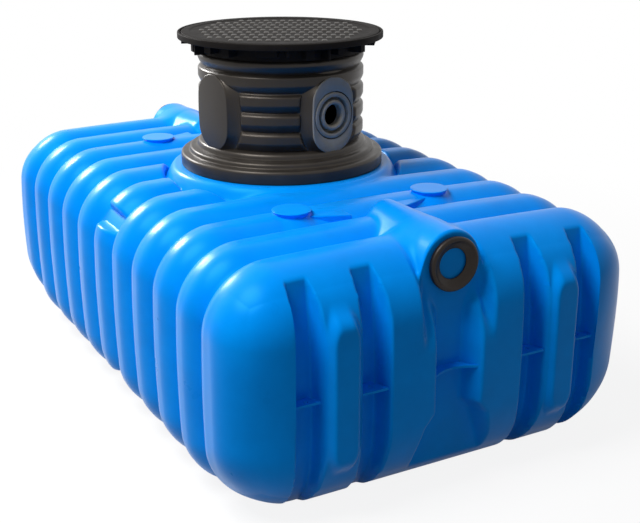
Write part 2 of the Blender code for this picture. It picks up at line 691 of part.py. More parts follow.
def deck_form(name, inset, finish):
    """The deck as a thick slab: ribs that end round a moat, and the collar inside it.

    With an inset it is the form of the room below, which runs on past the deck's edges.
    """
    count = 4 if inset else 9
    path = roof_path(count, BOX_HEIGHT, True)
    stations = rib_stations(-DECK_HALF, DECK_HALF, INNER_SHARES if inset else OUTER_SHARES)
    if inset:
        edge, low = BOX_HALF_WIDTH, BOX_HEIGHT - 2 * OVERRUN
        path = [(-edge, low), (-edge, BOX_HEIGHT), *path[1:-1], (edge, BOX_HEIGHT), (edge, low)]
        stations = [-DECK_HALF - OVERRUN, *stations, DECK_HALF + OVERRUN]
    slab = SLAB + 2 * inset
    bm = panel_mesh(path, path, stations, stations, inset, slab)
    form = object_from(name, bm, finish)
    above = COLLAR_Z + SLAB
    moat = cylinder(name + "_moat", RIB_STOP_RADIUS + inset, MOAT_Z - inset, above, finish)
    boolean(form, moat, "DIFFERENCE")
    low = MOAT_Z - slab / 2
    foot = COLLAR_TOP_RADIUS + COLLAR_SPREAD - inset
    top, rim = COLLAR_Z - inset, COLLAR_TOP_RADIUS - inset
    collar = turned([(0, low), (foot, low), (foot, MOAT_Z - inset), (rim, top), (0, top)])
    boolean(form, object_from(name + "_collar", collar, finish), "UNION")
    return form


def deck(name, finish):
    """The middle of the roof, with the round collar that carries the shaft and the manhole through it."""
    made = deck_form(name, 0.0, finish)
    boolean(made, deck_form(name + "_room", WALL, finish), "DIFFERENCE")
    hole = cylinder(name + "_manhole", MANHOLE_RADIUS, MOAT_Z - SLAB, COLLAR_Z + SLAB, finish)
    boolean(made, hole, "DIFFERENCE")
    return made


def inset_outline(points, gap):
    """A closed outline of (x, y), anticlockwise, with every edge moved inwards by the gap."""
    count = len(points)
    moved = []
    for i in range(count):
        before = Vector(points[i]) - Vector(points[i - 1])
        after = Vector(points[(i + 1) % count]) - Vector(points[i])
        n1 = Vector((-before.y, before.x)).normalized()
        n2 = Vector((-after.y, after.x)).normalized()
        bisector = n1 + n2
        moved.append(Vector(points[i]) + bisector * gap / (1 + n1.dot(n2)))
    return [tuple(point) for point in moved]


def plate(name, outline, low, high, finish):
    """A level plate between two heights from an outline of (x, y)."""
    bm = bmesh.new()
    face = bm.faces.new([bm.verts.new((x, y, low)) for x, y in outline])
    made = bmesh.ops.extrude_face_region(bm, geom=[face])
    raised = [item for item in made["geom"] if isinstance(item, bmesh.types.BMVert)]
    bmesh.ops.translate(bm, verts=raised, vec=(0, 0, high - low))
    return object_from(name, bm, finish)


def web_outline(left, right, flank):
    """The outline of a web in a groove of an end's face, whose mouth runs from left to right."""
    places = (left, left + flank, right - flank, right)
    mouth_left, floor_left, floor_right, mouth_right = [
        Vector(point[:2]) for point in end_points([(x, -BOX_HALF_LENGTH, WEB_Z) for x in places])
    ]
    front = max(mouth_left.y, mouth_right.y) + WEB_SETBACK
    corners = [
        floor.lerp(mouth, (front - floor.y) / (mouth.y - floor.y))
        for floor, mouth in ((floor_left, mouth_left), (floor_right, mouth_right))
    ]
    return [tuple(point) for point in (floor_left, corners[0], corners[1], floor_right)]


def web(name, outline, side, finish):
    """A level web at the parting line, on the end at the given side."""
    low, high = WEB_Z - WEB_THICKNESS / 2, WEB_Z + WEB_THICKNESS / 2
    made = plate(name, inset_outline(outline, WEB_CLEARANCE), low, high, finish)
    if side > 0:
        made.rotation_euler.z = math.pi
    return made


def flute_web(name, middle, side, finish):
    """A web across one flute, with a lashing hole through it."""
    outline = web_outline(middle - FLUTE_WIDTH / 2, middle + FLUTE_WIDTH / 2, FLUTE_FLANK)
    made = web(name, outline, side, finish)
    low, high = WEB_Z - WEB_THICKNESS, WEB_Z + WEB_THICKNESS
    hole = turned([(0, low), (WEB_HOLE_RADIUS, low), (WEB_HOLE_RADIUS, high), (0, high)], 12)
    centre_y = (outline[0][1] + outline[1][1]) / 2
    bmesh.ops.translate(hole, verts=hole.verts, vec=(middle, centre_y, 0))
    tool = object_from(name + "_hole", hole, finish)
    tool.rotation_euler = made.rotation_euler
    boolean(made, tool, "DIFFERENCE")


def channel_web(name, side, finish):
    """The arched web across the pipe channel's waist."""
    half = CHANNEL_WAIST_HALF
    back_left, front_left, front_right, back_right = web_outline(-half, half, CHANNEL_FLANK)
    reach = front_right[0]
    arch = []
    for step in range(1, 8):
        turn = math.pi * step / 8
        arch.append((-reach * math.cos(turn), front_left[1] + WEB_MIDDLE_ARCH * math.sin(turn) ** 2))
    web(name, [back_left, front_left, *arch, front_right, back_right], side, finish)


def seal_mesh(steps=HOUSING_STEPS):
    """A rubber pipe seal: a round outer bead and a thinner inner lip, turned about +Z from its seat."""
    bead = (SEAL_OUTER_RADIUS - SEAL_BORE_RADIUS) / 2
    middle = SEAL_OUTER_RADIUS - bead
    profile = [(SEAL_BORE_RADIUS, 0.0), (SEAL_OUTER_RADIUS - SEAL_FOOT_INSET, 0.0)]
    profile += arc((middle, SEAL_BEAD_Z), bead, -5, 60, 4)
    profile += [(middle, SEAL_DEPTH), (SEAL_BORE_RADIUS + SEAL_FUNNEL, SEAL_FUNNEL_Z)]
    profile += [(SEAL_LIP_RADIUS, height) for height in SEAL_LIP_Z[::-1]]
    return turned(profile, steps)


def pipe_seal(name, side, finish):
    """The seal on the round seat of one end."""
    seat = side * (HOUSING_Y + SEAT_PROUD + SEAM_GAP)
    return object_from(name, lying(seal_mesh(), seat, PIPE_Z, side), finish)


def rib_ends():
    """Angles from a port plate's middle at which the ribs beside it begin, and reach their full depth."""
    begin = math.atan(PORT_HALF_WIDTH / PAD_FACE) + RIB_END_GAP
    return begin, begin + RIB_END_TAPER


def shaft_turns():
    """Angles round the shaft where its surface bends, from the middle of one port plate to the next."""
    quarter = 2 * math.pi / PORT_COUNT
    plate_edge = math.atan(PORT_HALF_WIDTH / PAD_FACE)
    begin, full = rib_ends()
    near = [0, plate_edge / 2, plate_edge, begin, full]
    middle = list(np.linspace(full, quarter - full, 6))[1:-1]
    first = near + middle + [quarter - angle for angle in near[:0:-1]]
    return [index * quarter + angle for index in range(PORT_COUNT) for angle in first]


def shaft_radius(height, angle):
    """The shaft's outer radius: full rings at the top, ribs between the port plates below."""
    rib = height / SHAFT_RIB_PITCH
    to_groove = (0.5 - abs((rib % 1.0) - 0.5)) * SHAFT_RIB_PITCH
    swell = SHAFT_RIB_DEPTH * min(to_groove / SHAFT_RIB_FLANK, 1.0)
    if rib < SHAFT_RIB_COUNT - SHAFT_FULL_RIBS:
        quarter = 2 * math.pi / PORT_COUNT
        off_plate = abs((angle + quarter / 2) % quarter - quarter / 2)
        begin, full = rib_ends()
        swell *= min(max((off_plate - begin) / (full - begin), 0.0), 1.0)
    return SHAFT_RADIUS - SHAFT_RIB_DEPTH + swell


def obround_prism(half_width, half_height, near, far, steps=8):
    """An upright obround prism whose flat faces look along -Y, from near to far."""
    straight = half_height - half_width
    outline = []
    for centre, start in ((straight, 0.0), (-straight, math.pi)):
        for step in range(steps + 1):
            turn = start + math.pi * step / steps
            outline.append((half_width * math.cos(turn), centre + half_width * math.sin(turn)))
    bm = bmesh.new()
    near_ring = [bm.verts.new((x, -near, z)) for x, z in outline]
    far_ring = [bm.verts.new((x, -far, z)) for x, z in outline]
    bm.faces.new(near_ring)
    bm.faces.new(far_ring)
    for i in range(len(outline)):
        after = (i + 1) % len(outline)
        bm.faces.new([near_ring[i], near_ring[after], far_ring[after], far_ring[i]])
    return bm


def shaft_ring(bm, turns, radii, height):
    """A ring of vertices round the shaft at one height."""
    ring = []
    for turn, radius in zip(turns, radii):
        angle = turn + SHAFT_TURN - math.pi / 2
        ring.append(bm.verts.new((radius * math.cos(angle), radius * math.sin(angle), height)))
    return ring


def shaft_body(name, finish):
    """The shaft: corrugated tube with a flat port plate on each quarter and one open port."""
    turns = shaft_turns()
    per_rib = (0.0, SHAFT_RIB_FLANK, SHAFT_RIB_PITCH - SHAFT_RIB_FLANK)
    heights = [SHAFT_RIB_PITCH * rib + place for rib in range(SHAFT_RIB_COUNT) for place in per_rib]
    heights.append(SHAFT_RIB_PITCH * SHAFT_RIB_COUNT)
    bm = bmesh.new()
    bore = [SHAFT_BORE_RADIUS - 2 * WALL] * len(turns)
    rings = [shaft_ring(bm, turns, bore, SHAFT_Z)]
    for height in heights:
        radii = [shaft_radius(height, turn) for turn in turns]
        rings.append(shaft_ring(bm, turns, radii, SHAFT_Z + height))
    rings.append(shaft_ring(bm, turns, bore, SHAFT_TOP_Z))
    for near, far in zip(rings, rings[1:] + rings[:1]):
        for i in range(len(turns)):
            after = (i + 1) % len(turns)
            bm.faces.new([near[i], near[after], far[after], far[i]])
    body = object_from(name, bm, finish)
    for index in range(PORT_COUNT):
        prism = obround_prism(PORT_HALF_WIDTH, PORT_HALF_HEIGHT, PAD_FACE - PORT_PLATE, PAD_FACE)
        turn = Matrix.Rotation(SHAFT_TURN + index * 2 * math.pi / PORT_COUNT, 4, "Z")
        move = Matrix.Translation((0, 0, PORT_Z))
        bmesh.ops.transform(prism, matrix=turn @ move, verts=prism.verts)
        boolean(body, object_from(f"{name}_port_{index}", prism, finish), "UNION")
    bore_tool = cylinder(name + "_bore", SHAFT_BORE_RADIUS, SHAFT_Z - WALL, SHAFT_TOP_Z + WALL, finish)
    boolean(body, bore_tool, "DIFFERENCE")
    return body


def shaft_foot(name, finish):
    """The stepped foot flange that stands on the collar."""
    low = COLLAR_Z + SEAM_GAP
    top = SHAFT_Z - SEAM_GAP
    rim_z, step_z = low + FOOT_RIM, low + FOOT_RIM + FOOT_STEP_RISE
    step_radius = FOOT_RADIUS - FOOT_STEP_WIDTH
    neck_radius = SHAFT_RADIUS + FOOT_NECK
    profile = [(MANHOLE_RADIUS, low), (FOOT_RADIUS, low)]
    profile += arc((FOOT_RADIUS - FOOT_EDGE, rim_z - FOOT_EDGE), FOOT_EDGE, 0, 90, 4)
    profile += [(step_radius, rim_z)]
    profile += arc((step_radius - FOOT_STEP_EDGE, step_z - FOOT_STEP_EDGE), FOOT_STEP_EDGE, 0, 90, 3)
    profile += [(neck_radius, step_z)]
    profile += arc((neck_radius - FOOT_STEP_EDGE, top - FOOT_STEP_EDGE), FOOT_STEP_EDGE, 0, 90, 3)
    profile += [(SHAFT_BORE_RADIUS, top), (SHAFT_BORE_RADIUS, low + FOOT_EDGE)]
    return object_from(name, turned(profile, ROUND_STEPS), finish)


def port_hole(body, finish):
    """Cuts the open pipe hole through the port plate that faces the front."""
    reach = FOOT_RADIUS
    bore = turned([(0, 0), (PORT_HOLE_RADIUS, 0), (PORT_HOLE_RADIUS, reach), (0, reach)], HOUSING_STEPS)
    turn = Matrix.Rotation(SHAFT_TURN, 4, "Z") @ Matrix.Translation((0, 0, PORT_Z))
    turn @= Matrix.Rotation(math.radians(90), 4, "X")
    bmesh.ops.transform(bore, matrix=turn, verts=bore.verts)
    boolean(body, object_from(body.name + "_bore", bore, finish), "DIFFERENCE")


def port_seal(name, finish):
    """The shaft's pipe seal, on the port plate that faces the front."""
    bm = seal_mesh()
    turn = Matrix.Rotation(SHAFT_TURN, 4, "Z") @ Matrix.Translation((0, -PAD_FACE - SEAM_GAP, PORT_Z))
    turn @= Matrix.Rotation(math.radians(90), 4, "X")
    bmesh.ops.transform(bm, matrix=turn, verts=bm.verts)
    return object_from(name, bm, finish)


def lid_frame(name, finish):
    """The frame on the shaft: a sleeve with brackets under a broad plate, and a low rim round the lid."""
    low, seat, top = FRAME_Z, LID_Z - SEAM_GAP, LID_TOP_Z
    under = seat - FRAME_PLATE
    inner_rim = FRAME_RADIUS - FRAME_RIM
    profile = [(FRAME_BORE_RADIUS, low), (FRAME_SLEEVE_RADIUS, low), (FRAME_SLEEVE_RADIUS, under)]
    profile += [(FRAME_RADIUS - FRAME_CHAMFER, under), (FRAME_RADIUS, under + FRAME_CHAMFER)]
    profile += [(FRAME_RADIUS, top - FRAME_CHAMFER), (FRAME_RADIUS - FRAME_CHAMFER, top)]
    profile += [(inner_rim, top), (inner_rim, seat), (FRAME_BORE_RADIUS, seat)]
    frame = object_from(name, turned(profile, ROUND_STEPS), finish)
    inside = FRAME_SLEEVE_RADIUS - FRAME_RIM
    for quarter in range(PORT_COUNT):
        for index, (degrees, width, drop, reach) in enumerate(BRACKETS):
            outside = FRAME_SLEEVE_RADIUS + reach
            corners = (inside, -width / 2, under - drop), (outside, width / 2, under + FRAME_CHAMFER)
            bracket = box_tool(f"{name}_bracket_{quarter}_{index}", *corners, finish)
            bracket.rotation_euler.z = SHAFT_TURN - math.pi / 2 + math.radians(degrees + 90 * quarter)
            boolean(frame, bracket, "UNION")
    return frame


def lid(name, finish):
    """The lid: a disc with a spigot below that centres it in the frame."""
    radius = FRAME_RADIUS - FRAME_RIM - LID_CLEARANCE
    low, edge = LID_Z - LID_SPIGOT, LID_TOP_Z - LID_CHAMFER
    profile = [(0, low), (LID_SPIGOT_RADIUS, low), (LID_SPIGOT_RADIUS, LID_Z)]
    profile += [(radius, LID_Z), (radius, edge), (radius - LID_CHAMFER, LID_TOP_Z), (0, LID_TOP_Z)]
    return object_from(name, turned(profile), finish)


def build():
    clear_scene()
    blue = material("blue_polyethylene", (0.0, 0.25, 0.75), 0.35)
    black = material("black_polyethylene", (0.03, 0.03, 0.03), 0.5)
    rubber = material("black_rubber", (0.015, 0.012, 0.012), 0.6)

    tank_end("front_end", -1, blue)
    tank_end("back_end", 1, blue)
    for name, side in (("left_wall", -1), ("right_wall", 1)):
        wall_panel(name, side_path(side * BOX_HALF_WIDTH, 4), side_path(side * BOX_HALF_WIDTH, 2), blue)
    wall_panel("floor_wall", roof_path(4, 0.0), roof_path(2, 0.0), blue)
    roof_panel("roof_front", -1, blue)
    roof_panel("roof_back", 1, blue)
    deck("roof_deck", blue)
    for end, side in (("front", -1), ("back", 1)):
        for place, middle in (
            ("left_outer", -OUTER_FLUTE_X),
            ("left_inner", -INNER_FLUTE_X),
            ("right_inner", INNER_FLUTE_X),
            ("right_outer", OUTER_FLUTE_X),
        ):
            flute_web(f"{end}_web_{place}", middle, side, blue)
        channel_web(f"{end}_web_middle", side, blue)
        pipe_seal(f"{end}_pipe_seal", side, rubber)
    shaft_foot("shaft_foot", black)
    body = shaft_body("shaft_body", black)
    port_hole(body, black)
    port_seal("shaft_pipe_seal", rubber)
    lid_frame("lid_frame", black)
    lid("lid", black)


build()
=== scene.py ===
# %% [markdown]
# # An underground rainwater tank in ribbed polyethylene
# This lesson dresses a finished CAD model. The CAD gives every size and every body that moves. The script adds
# what a moulded tank has and a plain CAD model lacks: fine corrugation, soft edges, a tread, brackets and the
# finish of the plastic. It starts by loading the CAD as a fixed frame.

import json
import math

import bpy
import numpy as np
from mathutils import Matrix, Vector


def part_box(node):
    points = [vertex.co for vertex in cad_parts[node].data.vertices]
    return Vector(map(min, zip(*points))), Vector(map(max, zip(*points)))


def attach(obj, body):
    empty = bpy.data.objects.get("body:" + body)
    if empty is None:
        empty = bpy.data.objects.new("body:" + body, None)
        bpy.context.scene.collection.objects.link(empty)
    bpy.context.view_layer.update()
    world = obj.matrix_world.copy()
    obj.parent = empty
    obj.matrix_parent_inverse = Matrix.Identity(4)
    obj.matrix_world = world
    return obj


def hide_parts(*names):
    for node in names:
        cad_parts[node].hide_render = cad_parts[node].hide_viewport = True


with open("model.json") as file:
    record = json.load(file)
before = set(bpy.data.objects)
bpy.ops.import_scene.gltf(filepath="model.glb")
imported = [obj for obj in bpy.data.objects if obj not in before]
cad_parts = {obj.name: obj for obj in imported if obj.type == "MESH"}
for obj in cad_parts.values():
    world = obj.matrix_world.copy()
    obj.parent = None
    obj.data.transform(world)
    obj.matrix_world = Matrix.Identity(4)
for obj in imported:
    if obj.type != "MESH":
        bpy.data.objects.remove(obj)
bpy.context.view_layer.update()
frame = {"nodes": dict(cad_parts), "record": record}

# %% [markdown]
# ## Helpers for meshes
# A moulded shell is one smooth skin, so most pieces here are grids: rows of points that a formula places, joined
# to quads. A round piece is a grid too, with rows for its profile and columns for its turns. One function builds
# both, and another joins several grids to one object.


# %% Grid and lathe helpers
def grid_faces(rows, columns, wrap=False):
    """Corner numbers of the quads between neighbouring points of a grid; wrap closes it sideways."""
    index = np.arange(rows * columns).reshape(rows, columns)
    if wrap:
        index = np.hstack([index, index[:, :1]])
    corners = [index[:-1, :-1], index[:-1, 1:], index[1:, 1:], index[1:, :-1]]
    return np.stack([corner.ravel() for corner in corners], 1)


def smooth_object(name, points, faces, finish, sharp_degrees=40):
    """An object from lists of points and faces, smooth except at edges sharper than the given angle."""
    mesh = bpy.data.meshes.new(name)
    mesh.from_pydata(points, [], faces)
    mesh.materials.append(finish)
    mesh.shade_smooth()
    mesh.set_sharp_from_angle(angle=math.radians(sharp_degrees))
    mesh.validate()
    made = bpy.data.objects.new(name, mesh)
    bpy.context.scene.collection.objects.link(made)
    print(f"{name}: {len(mesh.polygons)} faces")
    return made


def mesh_object(name, points, faces, finish, sharp_degrees=40):
    """An object from arrays of points and quads; a quad with two equal corners becomes a triangle."""
    corners = [list(dict.fromkeys(face)) for face in faces.tolist()]
    return smooth_object(name, np.asarray(points).tolist(), corners, finish, sharp_degrees)


def turned(profile, steps=128):
    """Points and faces of a profile of (radius, height), turned about +Z, its outside on the right hand."""
    turns = np.linspace(0, 2 * np.pi, steps, endpoint=False)
    radius, height = np.array(profile, float).T
    points = np.stack(
        [
            radius[:, None] * np.cos(turns),
            radius[:, None] * np.sin(turns),
            np.repeat(height[:, None], steps, 1),
        ],
        2,
    ).reshape(-1, 3)
    return points, grid_faces(len(profile), steps, wrap=True)


def arc(centre, radius, start, stop, count=6):
    """Points of (radius, height) along a round stretch of a profile, from one angle in degrees to another."""
    angles = np.radians(np.linspace(start, stop, count))
    return [(centre[0] + radius * math.cos(a), centre[1] + radius * math.sin(a)) for a in angles]


def joined(pieces):
    """Several (points, faces) pairs as one."""
    offset, all_points, all_faces = 0, [], []
    for points, faces in pieces:
        all_points.append(points)
        all_faces.append(faces + offset)
        offset += len(points)
    return np.concatenate(all_points), np.concatenate(all_faces)


def moved(piece, matrix):
    """A (points, faces) pair moved by a matrix."""
    points, faces = piece
    turned_points = points @ np.array(matrix.to_3x3()).T + np.array(matrix.translation)
    return turned_points, faces


def smooth_step(low, high, value):
    """A soft step from 0 to 1 between two values."""
    share = np.clip((value - low) / (high - low), 0.0, 1.0)
    return share * share * (3 - 2 * share)


def smooth_max(a, b, blend):
    """The larger of two heights, with a round fillet of about the blend's size where they meet."""
    overlap = np.clip(blend - np.abs(a - b), 0.0, None) / blend
    return np.maximum(a, b) + overlap * overlap * blend / 4


# %% [markdown]
# ## Helpers for materials
# Every finish below is made of shader nodes. One function adds a node, sets its values and links its inputs, so
# that a material reads as a short list. Colours are written as sRGB hex, as in a paint program, and one function
# turns them to the linear values that Blender calculates with.


# %% Node and colour helpers
def colour(hex_code):
    """Linear RGBA from an sRGB hex code."""
    channels = [int(hex_code[i : i + 2], 16) / 255 for i in (1, 3, 5)]
    linear = [c / 12.92 if c <= 0.04045 else ((c + 0.055) / 1.055) ** 2.4 for c in channels]
    return (*linear, 1.0)


def add_node(tree, kind, settings=None, **inputs):
    """Adds a node; settings are its own options, inputs are socket values or (node, output) links."""
    node = tree.nodes.new(kind)
    for key, value in (settings or {}).items():
        setattr(node, key, value)
    for key, value in inputs.items():
        numbered = key[0] == "i" and key[1:].isdigit()
        socket = node.inputs[int(key[1:]) if numbered else key.replace("_", " ")]
        if isinstance(value, tuple) and isinstance(value[0], bpy.types.Node):
            tree.links.new(value[0].outputs[value[1]], socket)
        else:
            socket.default_value = value
    return node


def new_material(name):
    """An empty node material and its tree."""
    made = bpy.data.materials.new(name)
    made.use_nodes = True
    made.node_tree.nodes.clear()
    return made, made.node_tree


# %% One helper for all finishes
def moulded_plastic(name, base, dark, light, roughness, grain_mm, grain_depth_mm, wave_mm, shine, shine_tint):
    """A moulded plastic with cloudy colour, uneven gloss and a fine grain.

    One noise of the wave's size drives both colour and gloss, as pigment and gloss vary together; a second one of
    the grain's size gives the bump.
    """
    made, tree = new_material(name)
    place = add_node(tree, "ShaderNodeTexCoord")
    cloud = add_node(
        tree, "ShaderNodeTexNoise", Vector=(place, "Object"), Scale=1000 / wave_mm, Detail=4.0, Roughness=0.55
    )
    tint = add_node(tree, "ShaderNodeValToRGB", i0=(cloud, "Fac"))
    tint.color_ramp.elements[0].position = 0.3
    tint.color_ramp.elements[0].color = colour(dark)
    tint.color_ramp.elements[1].position = 0.7
    tint.color_ramp.elements[1].color = colour(light)
    middle = tint.color_ramp.elements.new(0.5)
    middle.color = colour(base)
    grain = add_node(
        tree, "ShaderNodeTexNoise", Vector=(place, "Object"), Scale=1000 / grain_mm, Detail=3.0, Roughness=0.6
    )
    gloss = add_node(
        tree,
        "ShaderNodeMapRange",
        i0=(cloud, "Fac"),
        i1=0.3,
        i2=0.7,
        i3=roughness * 0.88,
        i4=roughness * 1.12,
    )
    bump = add_node(tree, "ShaderNodeBump", Height=(grain, "Fac"), Distance=grain_depth_mm / 1000, Strength=0.35)
    shader = add_node(
        tree,
        "ShaderNodeBsdfPrincipled",
        Base_Color=(tint, "Color"),
        Roughness=(gloss, "Result"),
        Normal=(bump, "Normal"),
        Metallic=0.0,
        IOR=1.5,
        Specular_IOR_Level=shine,
        Specular_Tint=colour(shine_tint),
    )
    add_node(tree, "ShaderNodeOutputMaterial", Surface=(shader, "BSDF"))
    return made


# %% [markdown]
# ## The plastics and the rubber
# The tank is rotomoulded polyethylene: powder melts against a turning mould, so the wall has soft edges, a slight
# orange peel and a wax-like gloss. The shaft is polyethylene filled with carbon black, with a finer grain. The lid
# and its frame are duller and darker; on the frame and brackets under the lid that darker tone is also painted
# shade. The lid's tread is painted paler, a painted highlight on its blocks. The level part of the front port
# plate and the seal in it are matt and painted pale, a painted light on these faces. The seals at the ends are
# EPDM rubber, a little brown. The orange peel is 3 mm wide. The grain of the black plastic and the rubber is
# really a few tenths of a millimetre and would not show, so it is drawn 1.2 to 1.5 mm wide. Each call gives a
# name, three colours, the roughness, the grain's size and depth and the clouds' size in millimetres, and the
# shine with its tint.

# %% Materials
blue_plastic = moulded_plastic(
    "rotomoulded_blue_polyethylene", "#0090F4", "#008BEE", "#0095FA", 0.31, 3.0, 0.05, 160, 0.22, "#30C8FF"
)
black_plastic = moulded_plastic(
    "moulded_black_polyethylene", "#24211E", "#201D1B", "#282522", 0.37, 1.5, 0.04, 60, 0.36, "#FFF2E4"
)
# The lid's own darker plastic; on the frame and brackets under the lid its dark tone is also painted shade.
lid_plastic_and_painted_shade = moulded_plastic(
    "lid_polyethylene_and_painted_shade", "#191716", "#161413", "#1C1A19", 0.60, 1.5, 0.05, 50, 0.05, "#FFF2E6"
)
# Paler than the lid: a painted highlight on the tread's blocks.
tread_painted_highlight_plastic = moulded_plastic(
    "black_polyethylene_painted_highlight", "#3C3A38", "#363432", "#44423F", 0.50, 1.5, 0.05, 30, 0.16, "#FFF6EC"
)
# Paler than the black plastic: painted light on the front plate's level face and on the seal in it.
painted_light_plate_plastic = moulded_plastic(
    "black_polyethylene_painted_light", "#8C8880", "#87837B", "#918D85", 0.60, 1.2, 0.02, 40, 0.22, "#FFFFFF"
)
seal_rubber = moulded_plastic(
    "moulded_seal_rubber", "#14100E", "#110D0B", "#171311", 0.40, 1.2, 0.03, 30, 0.30, "#FFF0E6"
)
finishes = (blue_plastic, black_plastic, lid_plastic_and_painted_shade, tread_painted_highlight_plastic, painted_light_plate_plastic, seal_rubber)
print("finishes:", [made.name for made in finishes])

# %% [markdown]
# ## The tank's form
# The mould is a box with rounded edges and slightly crowned faces, crossed by nine rounded ribs. These are its
# sizes. The lower edges are rounder than the upper ones, and the ends' edges have radii of their own. Half the
# width comes from the CAD's side wall, and the skin stays a hair inside it.

# %% Sizes of the shell
RIB_PITCH = 0.200
RIB_COUNT = 9
RIB_DEPTH = 0.046
RIB_FLAT = 0.1
GROOVE_FILLET = 0.07
SIDE_CROWN = 0.018
TOP_CROWN = 0.016
END_CROWN = 0.024
TOP_EDGE_RADIUS = 0.200
TOP_CAP_RADIUS = 0.200
BOTTOM_EDGE_RADIUS = 0.190
BOTTOM_CAP_RADIUS = 0.265
CAP_ROUNDING_Y = (0.860, 1.060)
END_EDGE_TOP = 0.200
END_EDGE_MIDDLE = 0.155
CAP_LENGTH = 0.316
SKIN_INSET = 0.0006

wall_low, wall_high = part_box("right_wall")
floor_low, floor_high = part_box("floor_wall")
BARREL_HALF = RIB_COUNT * RIB_PITCH / 2
TANK_HALF_WIDTH = float(wall_high[0]) - SKIN_INSET
TANK_HEIGHT = 0.820
END_Y = BARREL_HALF + CAP_LENGTH
BOX_HALF_WIDTH = TANK_HALF_WIDTH - SIDE_CROWN
BOX_HALF_LENGTH = END_Y - END_CROWN
BOX_HEIGHT = TANK_HEIGHT - TOP_CROWN
print("tank half width", round(TANK_HALF_WIDTH, 4), "barrel", wall_low[1], wall_high[1])
print("floor panel from z =", round(floor_low[2], 4), "to", round(floor_high[2], 4))

# %% [markdown]
# ## From a box to the moulded form
# Instead of modelling the shell face by face, one function takes a point on a plain box and moves it to the
# rounded form, and a second one gives the depth of the grooves. All skins share them, so they meet without a step.


# %% Rounded box
def envelope(box_points):
    """Moves points of a plain box to the rounded, crowned form that the ribs' crowns touch.

    It also gives each point's outward direction in the cross-section.
    """
    x, y, z = np.asarray(box_points, float).T
    at_cap = smooth_step(*CAP_ROUNDING_Y, np.abs(y))
    top_radius = TOP_EDGE_RADIUS + (TOP_CAP_RADIUS - TOP_EDGE_RADIUS) * at_cap
    bottom_radius = BOTTOM_EDGE_RADIUS + (BOTTOM_CAP_RADIUS - BOTTOM_EDGE_RADIUS) * at_cap
    upward = smooth_step(bottom_radius, BOX_HEIGHT - top_radius, z)
    side_radius = bottom_radius + (top_radius - bottom_radius) * upward
    level_radius = np.where(z > BOX_HEIGHT / 2, top_radius, bottom_radius)
    end_depth = END_EDGE_MIDDLE + (END_EDGE_TOP - END_EDGE_MIDDLE) * np.abs(2 * z / BOX_HEIGHT - 1) ** 2
    radii = np.stack([side_radius, end_depth, level_radius], 1)
    core = np.stack(
        [
            np.clip(x, side_radius - BOX_HALF_WIDTH, BOX_HALF_WIDTH - side_radius),
            np.clip(y, end_depth - BOX_HALF_LENGTH, BOX_HALF_LENGTH - end_depth),
            np.clip(z, bottom_radius, BOX_HEIGHT - top_radius),
        ],
        1,
    )
    reach = (np.stack([x, y, z], 1) - core) / radii
    reach /= np.linalg.norm(reach, axis=1, keepdims=True)
    points = core + radii * reach
    across = points[:, 0] / BOX_HALF_WIDTH
    along = points[:, 1] / BOX_HALF_LENGTH
    height = points[:, 2] / BOX_HEIGHT
    mid_height = 1 - (2 * height - 1) ** 2
    points[:, 0] += np.sign(across) * SIDE_CROWN * across**4 * mid_height
    points[:, 1] += np.sign(along) * END_CROWN * along**8 * (1 - across**2) * mid_height
    points[:, 2] += TOP_CROWN * height**8 * (1 - across**2)
    outward = reach[:, [0, 2]]
    size = np.linalg.norm(outward, axis=1, keepdims=True)
    return points, outward / np.maximum(size, 1e-9)


# %% Ribs and grooves
def rib_share(from_crown):
    """Share of the groove's depth at a share of the way from a rib's crown to the groove, with a small fillet."""
    off_flat = np.clip((from_crown - RIB_FLAT) / (1 - RIB_FLAT), 0.0, 1.0)
    near_groove = np.clip(off_flat - (1 - GROOVE_FILLET), 0.0, None)
    return off_flat**2 - near_groove**2 / GROOVE_FILLET * (1 - GROOVE_FILLET)


def groove_depth(y):
    """How far the shell lies inside its ribs' crowns at a place along the tank."""
    from_crown = np.abs(np.mod(y / RIB_PITCH + RIB_COUNT / 2, 1.0) - 0.5) * 2
    barrel = RIB_DEPTH * rib_share(from_crown)
    past_seam = np.clip((np.abs(y) - BARREL_HALF) / (RIB_PITCH / 2), 0.0, 1.0)
    cap = RIB_DEPTH * rib_share(1 - past_seam)
    return np.where(np.abs(y) < BARREL_HALF, barrel, cap)


# %% [markdown]
# ## What stands on the roof
# Around the shaft the roof rises to a round collar, and the middle ribs end in front of it with short rounded
# ends. At each end a low ridge leads the pipe out. Four flat pads stand on the roof, on which a second tank is
# stacked in transport. The middle rib has an upper and a lower notch on each side. Collar, ridges and the pads'
# feet all rise from the roof, so each is a height over the plan, and the roof takes the highest of them, with a
# fillet where they meet.

# %% Sizes on the roof
FOOT_GAP = 0.0008
COLLAR_Z = float(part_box("shaft_foot")[0][2]) - FOOT_GAP
COLLAR_TOP_RADIUS = 0.422
COLLAR_SLOPE = 2.0
COLLAR_ROUND = 0.012
COLLAR_FILLET = 0.014
RIB_STOP_RADIUS = 0.452
RIB_END_ROUND = 0.016
STOPPED_RIBS_Y = 1.5 * RIB_PITCH
PIPE_Z = 0.758
RIDGE_RADIUS = 0.1065
RIDGE_CROWN_HALF = 0.087
RIDGE_BACK = 0.765
OUTLET_DROP = 0.012
RIDGE_BACK_ROUND = 0.050
RIDGE_BACK_DROP = 0.044
RIDGE_Y = (0.72, 0.80, 1.00)
RIDGE_HALF = (0.055, 0.066, RIDGE_CROWN_HALF)
RIDGE_BELL_Y = (0.96, 1.13)
RIDGE_BELL = (0.66, 0.94)
RIDGE_FILLET_Y = (0.90, 0.96, 1.06, 1.13)
RIDGE_FILLET = (0.012, 0.050, 0.050, 0.024)
NOTCHES = ((0.682, 0.740), (0.052, 0.098))
NOTCH_ROUND = 0.014
